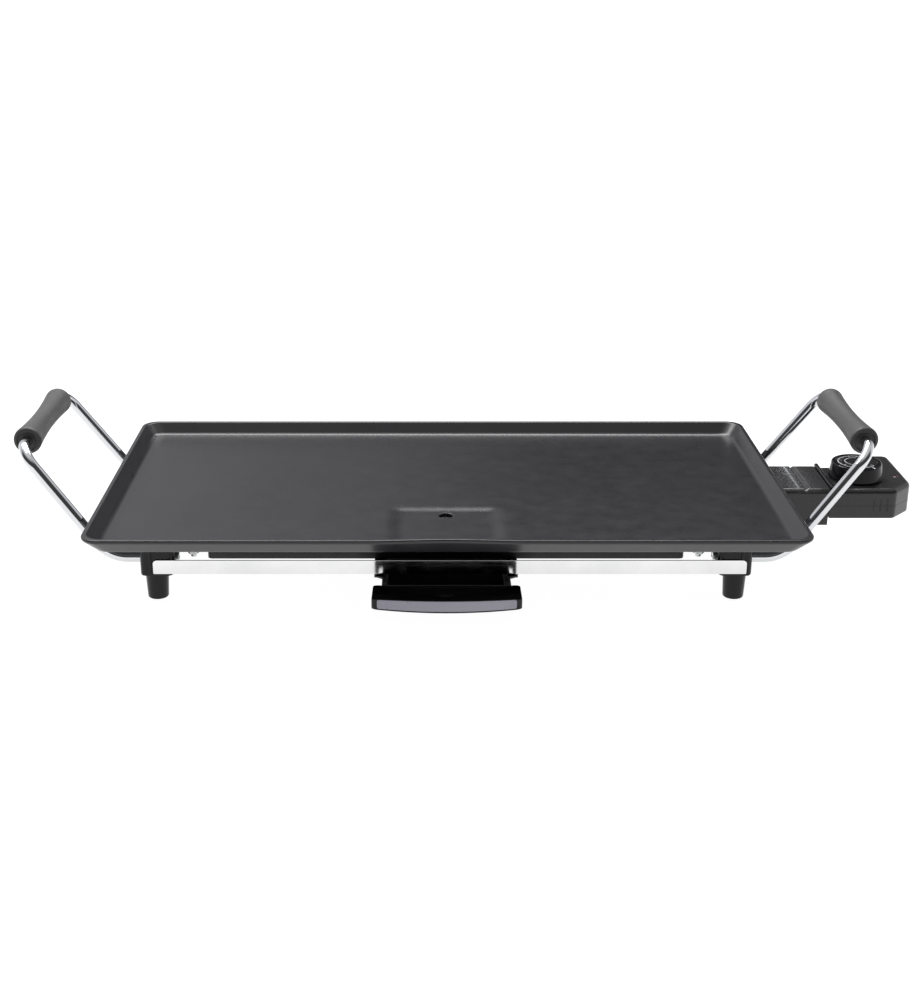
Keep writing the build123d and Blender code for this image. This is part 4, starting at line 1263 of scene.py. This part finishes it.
@dataclass
class Studio:
    """Pale floor, soft lights, a bright surround and the camera."""

    position: tuple[float, float, float] = (-37.7, -1092.0, 451.0)
    pitch: float = 20.4
    lens: float = 55.04
    shift: tuple[float, float] = (0.0407, 0.0006)
    backdrop: tuple[tuple[float, float], ...] = (
        (-1.0, 0.95), (1.0, 0.95), (-0.26, 0.66), (-0.06, 0.34), (0.10, 0.05), (0.24, 0.05),
        (0.36, 0.60))                    # brightness behind the object, by direction along X
    front_fade: tuple[float, float] = (-0.35, 0.30)
    front_level: float = 0.06
    top_fade: tuple[float, float] = (0.55, 0.95)
    top_level: float = 0.80
    floor_radius: float = 30000.0
    lamps: tuple[Lamp, ...] = (Lamp("overhead", (-250, 250, 1400), (1300, 900), 5.0),
                               Lamp("strip", (-200, 520, 1150), (1700, 560), 24.0))

    def build(self) -> None:
        """Set the scene up round the object."""
        self.build_floor()
        self.build_surround()
        for lamp in self.lamps:
            lamp.build()
        self.build_camera()

    def build_floor(self) -> None:
        """Flat round floor, far larger than the object."""
        far = self.floor_radius
        profile = np.array([(-20.0, 1.0), (-20.0, far), (0.0, far), (0.0, 1.0)])
        Shell().add(upright(turned(profile, 64))).placed("floor", Look.TABLE)

    def build_surround(self) -> None:
        """White surround for the eye; what is lit and mirrored sees a shaded studio instead.

        Its brightness depends on direction: a ramp along X behind the object, a dark front, and
        a bright ceiling.
        """
        world = bpy.data.worlds.new("surround")
        bpy.context.scene.world = world
        world.use_nodes = True
        nodes, links = world.node_tree.nodes, world.node_tree.links
        nodes.clear()
        out = nodes.new("ShaderNodeOutputWorld")
        seen, mirrored = (nodes.new("ShaderNodeBackground") for _ in range(2))
        seen.inputs["Color"].default_value = (1, 1, 1, 1)
        split = nodes.new("ShaderNodeSeparateXYZ")
        links.new(nodes.new("ShaderNodeTexCoord").outputs["Generated"], split.inputs["Vector"])
        shade = self.banded(world.node_tree, split.outputs["X"])
        shade = self.faded(world.node_tree, split.outputs["Y"], self.front_fade,
                           (self.front_level, shade))
        shade = self.faded(world.node_tree, split.outputs["Z"], self.top_fade,
                           (shade, self.top_level))
        links.new(shade, mirrored.inputs["Color"])
        choose, path = nodes.new("ShaderNodeMixShader"), nodes.new("ShaderNodeLightPath")
        links.new(path.outputs["Is Camera Ray"], choose.inputs["Fac"])
        links.new(mirrored.outputs[0], choose.inputs[1])
        links.new(seen.outputs[0], choose.inputs[2])
        links.new(choose.outputs[0], out.inputs["Surface"])

    def banded(self, tree: bpy.types.NodeTree, along: Socket) -> Socket:
        """Brightness behind the object, eased between its stops.

        Args:
            tree: the surround's nodes.
            along: direction along X, from -1 to 1.

        Returns:
            The shade.
        """
        steps = tree.nodes.new("ShaderNodeValToRGB")
        steps.color_ramp.interpolation = "EASE"
        elements = steps.color_ramp.elements
        for index, (x, value) in enumerate(self.backdrop):
            stop = elements[index] if index < 2 else elements.new(1.0)
            stop.position = (x + 1) / 2
            stop.color = (value, value, value * 1.04, 1)
        shift = tree.nodes.new("ShaderNodeMapRange")
        shift.inputs["From Min"].default_value = -1.0
        tree.links.new(along, shift.inputs["Value"])
        tree.links.new(shift.outputs["Result"], steps.inputs["Fac"])
        return steps.outputs["Color"]

    @staticmethod
    def faded(tree: bpy.types.NodeTree, along: Socket, fade: tuple[float, float],
              ends: tuple[Socket | float, Socket | float]) -> Socket:
        """Blend smoothly from one shade to another over a stretch of one direction.

        Args:
            tree: the surround's nodes.
            along: the direction's part along an axis, from -1 to 1.
            fade: where the blend starts and stops.
            ends: the shade before and after, each a socket or a grey level.

        Returns:
            The blended shade.
        """
        ramp = tree.nodes.new("ShaderNodeMapRange")
        ramp.interpolation_type = "SMOOTHSTEP"
        ramp.inputs["From Min"].default_value, ramp.inputs["From Max"].default_value = fade
        tree.links.new(along, ramp.inputs["Value"])
        mix = tree.nodes.new("ShaderNodeMix")
        mix.data_type = "RGBA"
        tree.links.new(ramp.outputs["Result"], mix.inputs["Factor"])
        for key, end in zip("AB", ends):
            if isinstance(end, float):
                mix.inputs[key].default_value = (end, end, end, 1)
            else:
                tree.links.new(end, mix.inputs[key])
        return mix.outputs["Result"]

    def build_camera(self) -> None:
        """Camera a metre in front, looking down over the plate."""
        data = bpy.data.cameras.new("camera")
        data.lens, data.sensor_width, data.sensor_fit = self.lens, 36.0, "AUTO"
        data.shift_x, data.shift_y = self.shift
        data.clip_end = 100.0
        camera = bpy.data.objects.new("camera", data)
        camera.location = np.array(self.position) * MM
        camera.rotation_euler = (math.radians(90 - self.pitch), 0, 0)
        bpy.context.scene.collection.objects.link(camera)
        bpy.context.scene.camera = camera
        bpy.context.scene.view_settings.view_transform = "Standard"


def main() -> None:
    """Build every sub-assembly, dress what stays, and set up the studio."""
    logging.basicConfig(level=logging.INFO, format="%(message)s")
    assemblies = [CookingPlate(), CarryingHandle(1), CarryingHandle(-1)]
    assemblies += [Leg(f"leg_{a}_{b}") for a in ("front", "rear") for b in ("left", "right")]
    assemblies += [Strip("front"), Strip("rear"), DripTray(), SocketGuard(), Control(), Knob()]
    for assembly in assemblies:
        LOG.info("building %s", type(assembly).__name__)
        assembly.build()
    CadFinishes().dress()
    Studio().build()


if __name__ == "__main__":
    main()
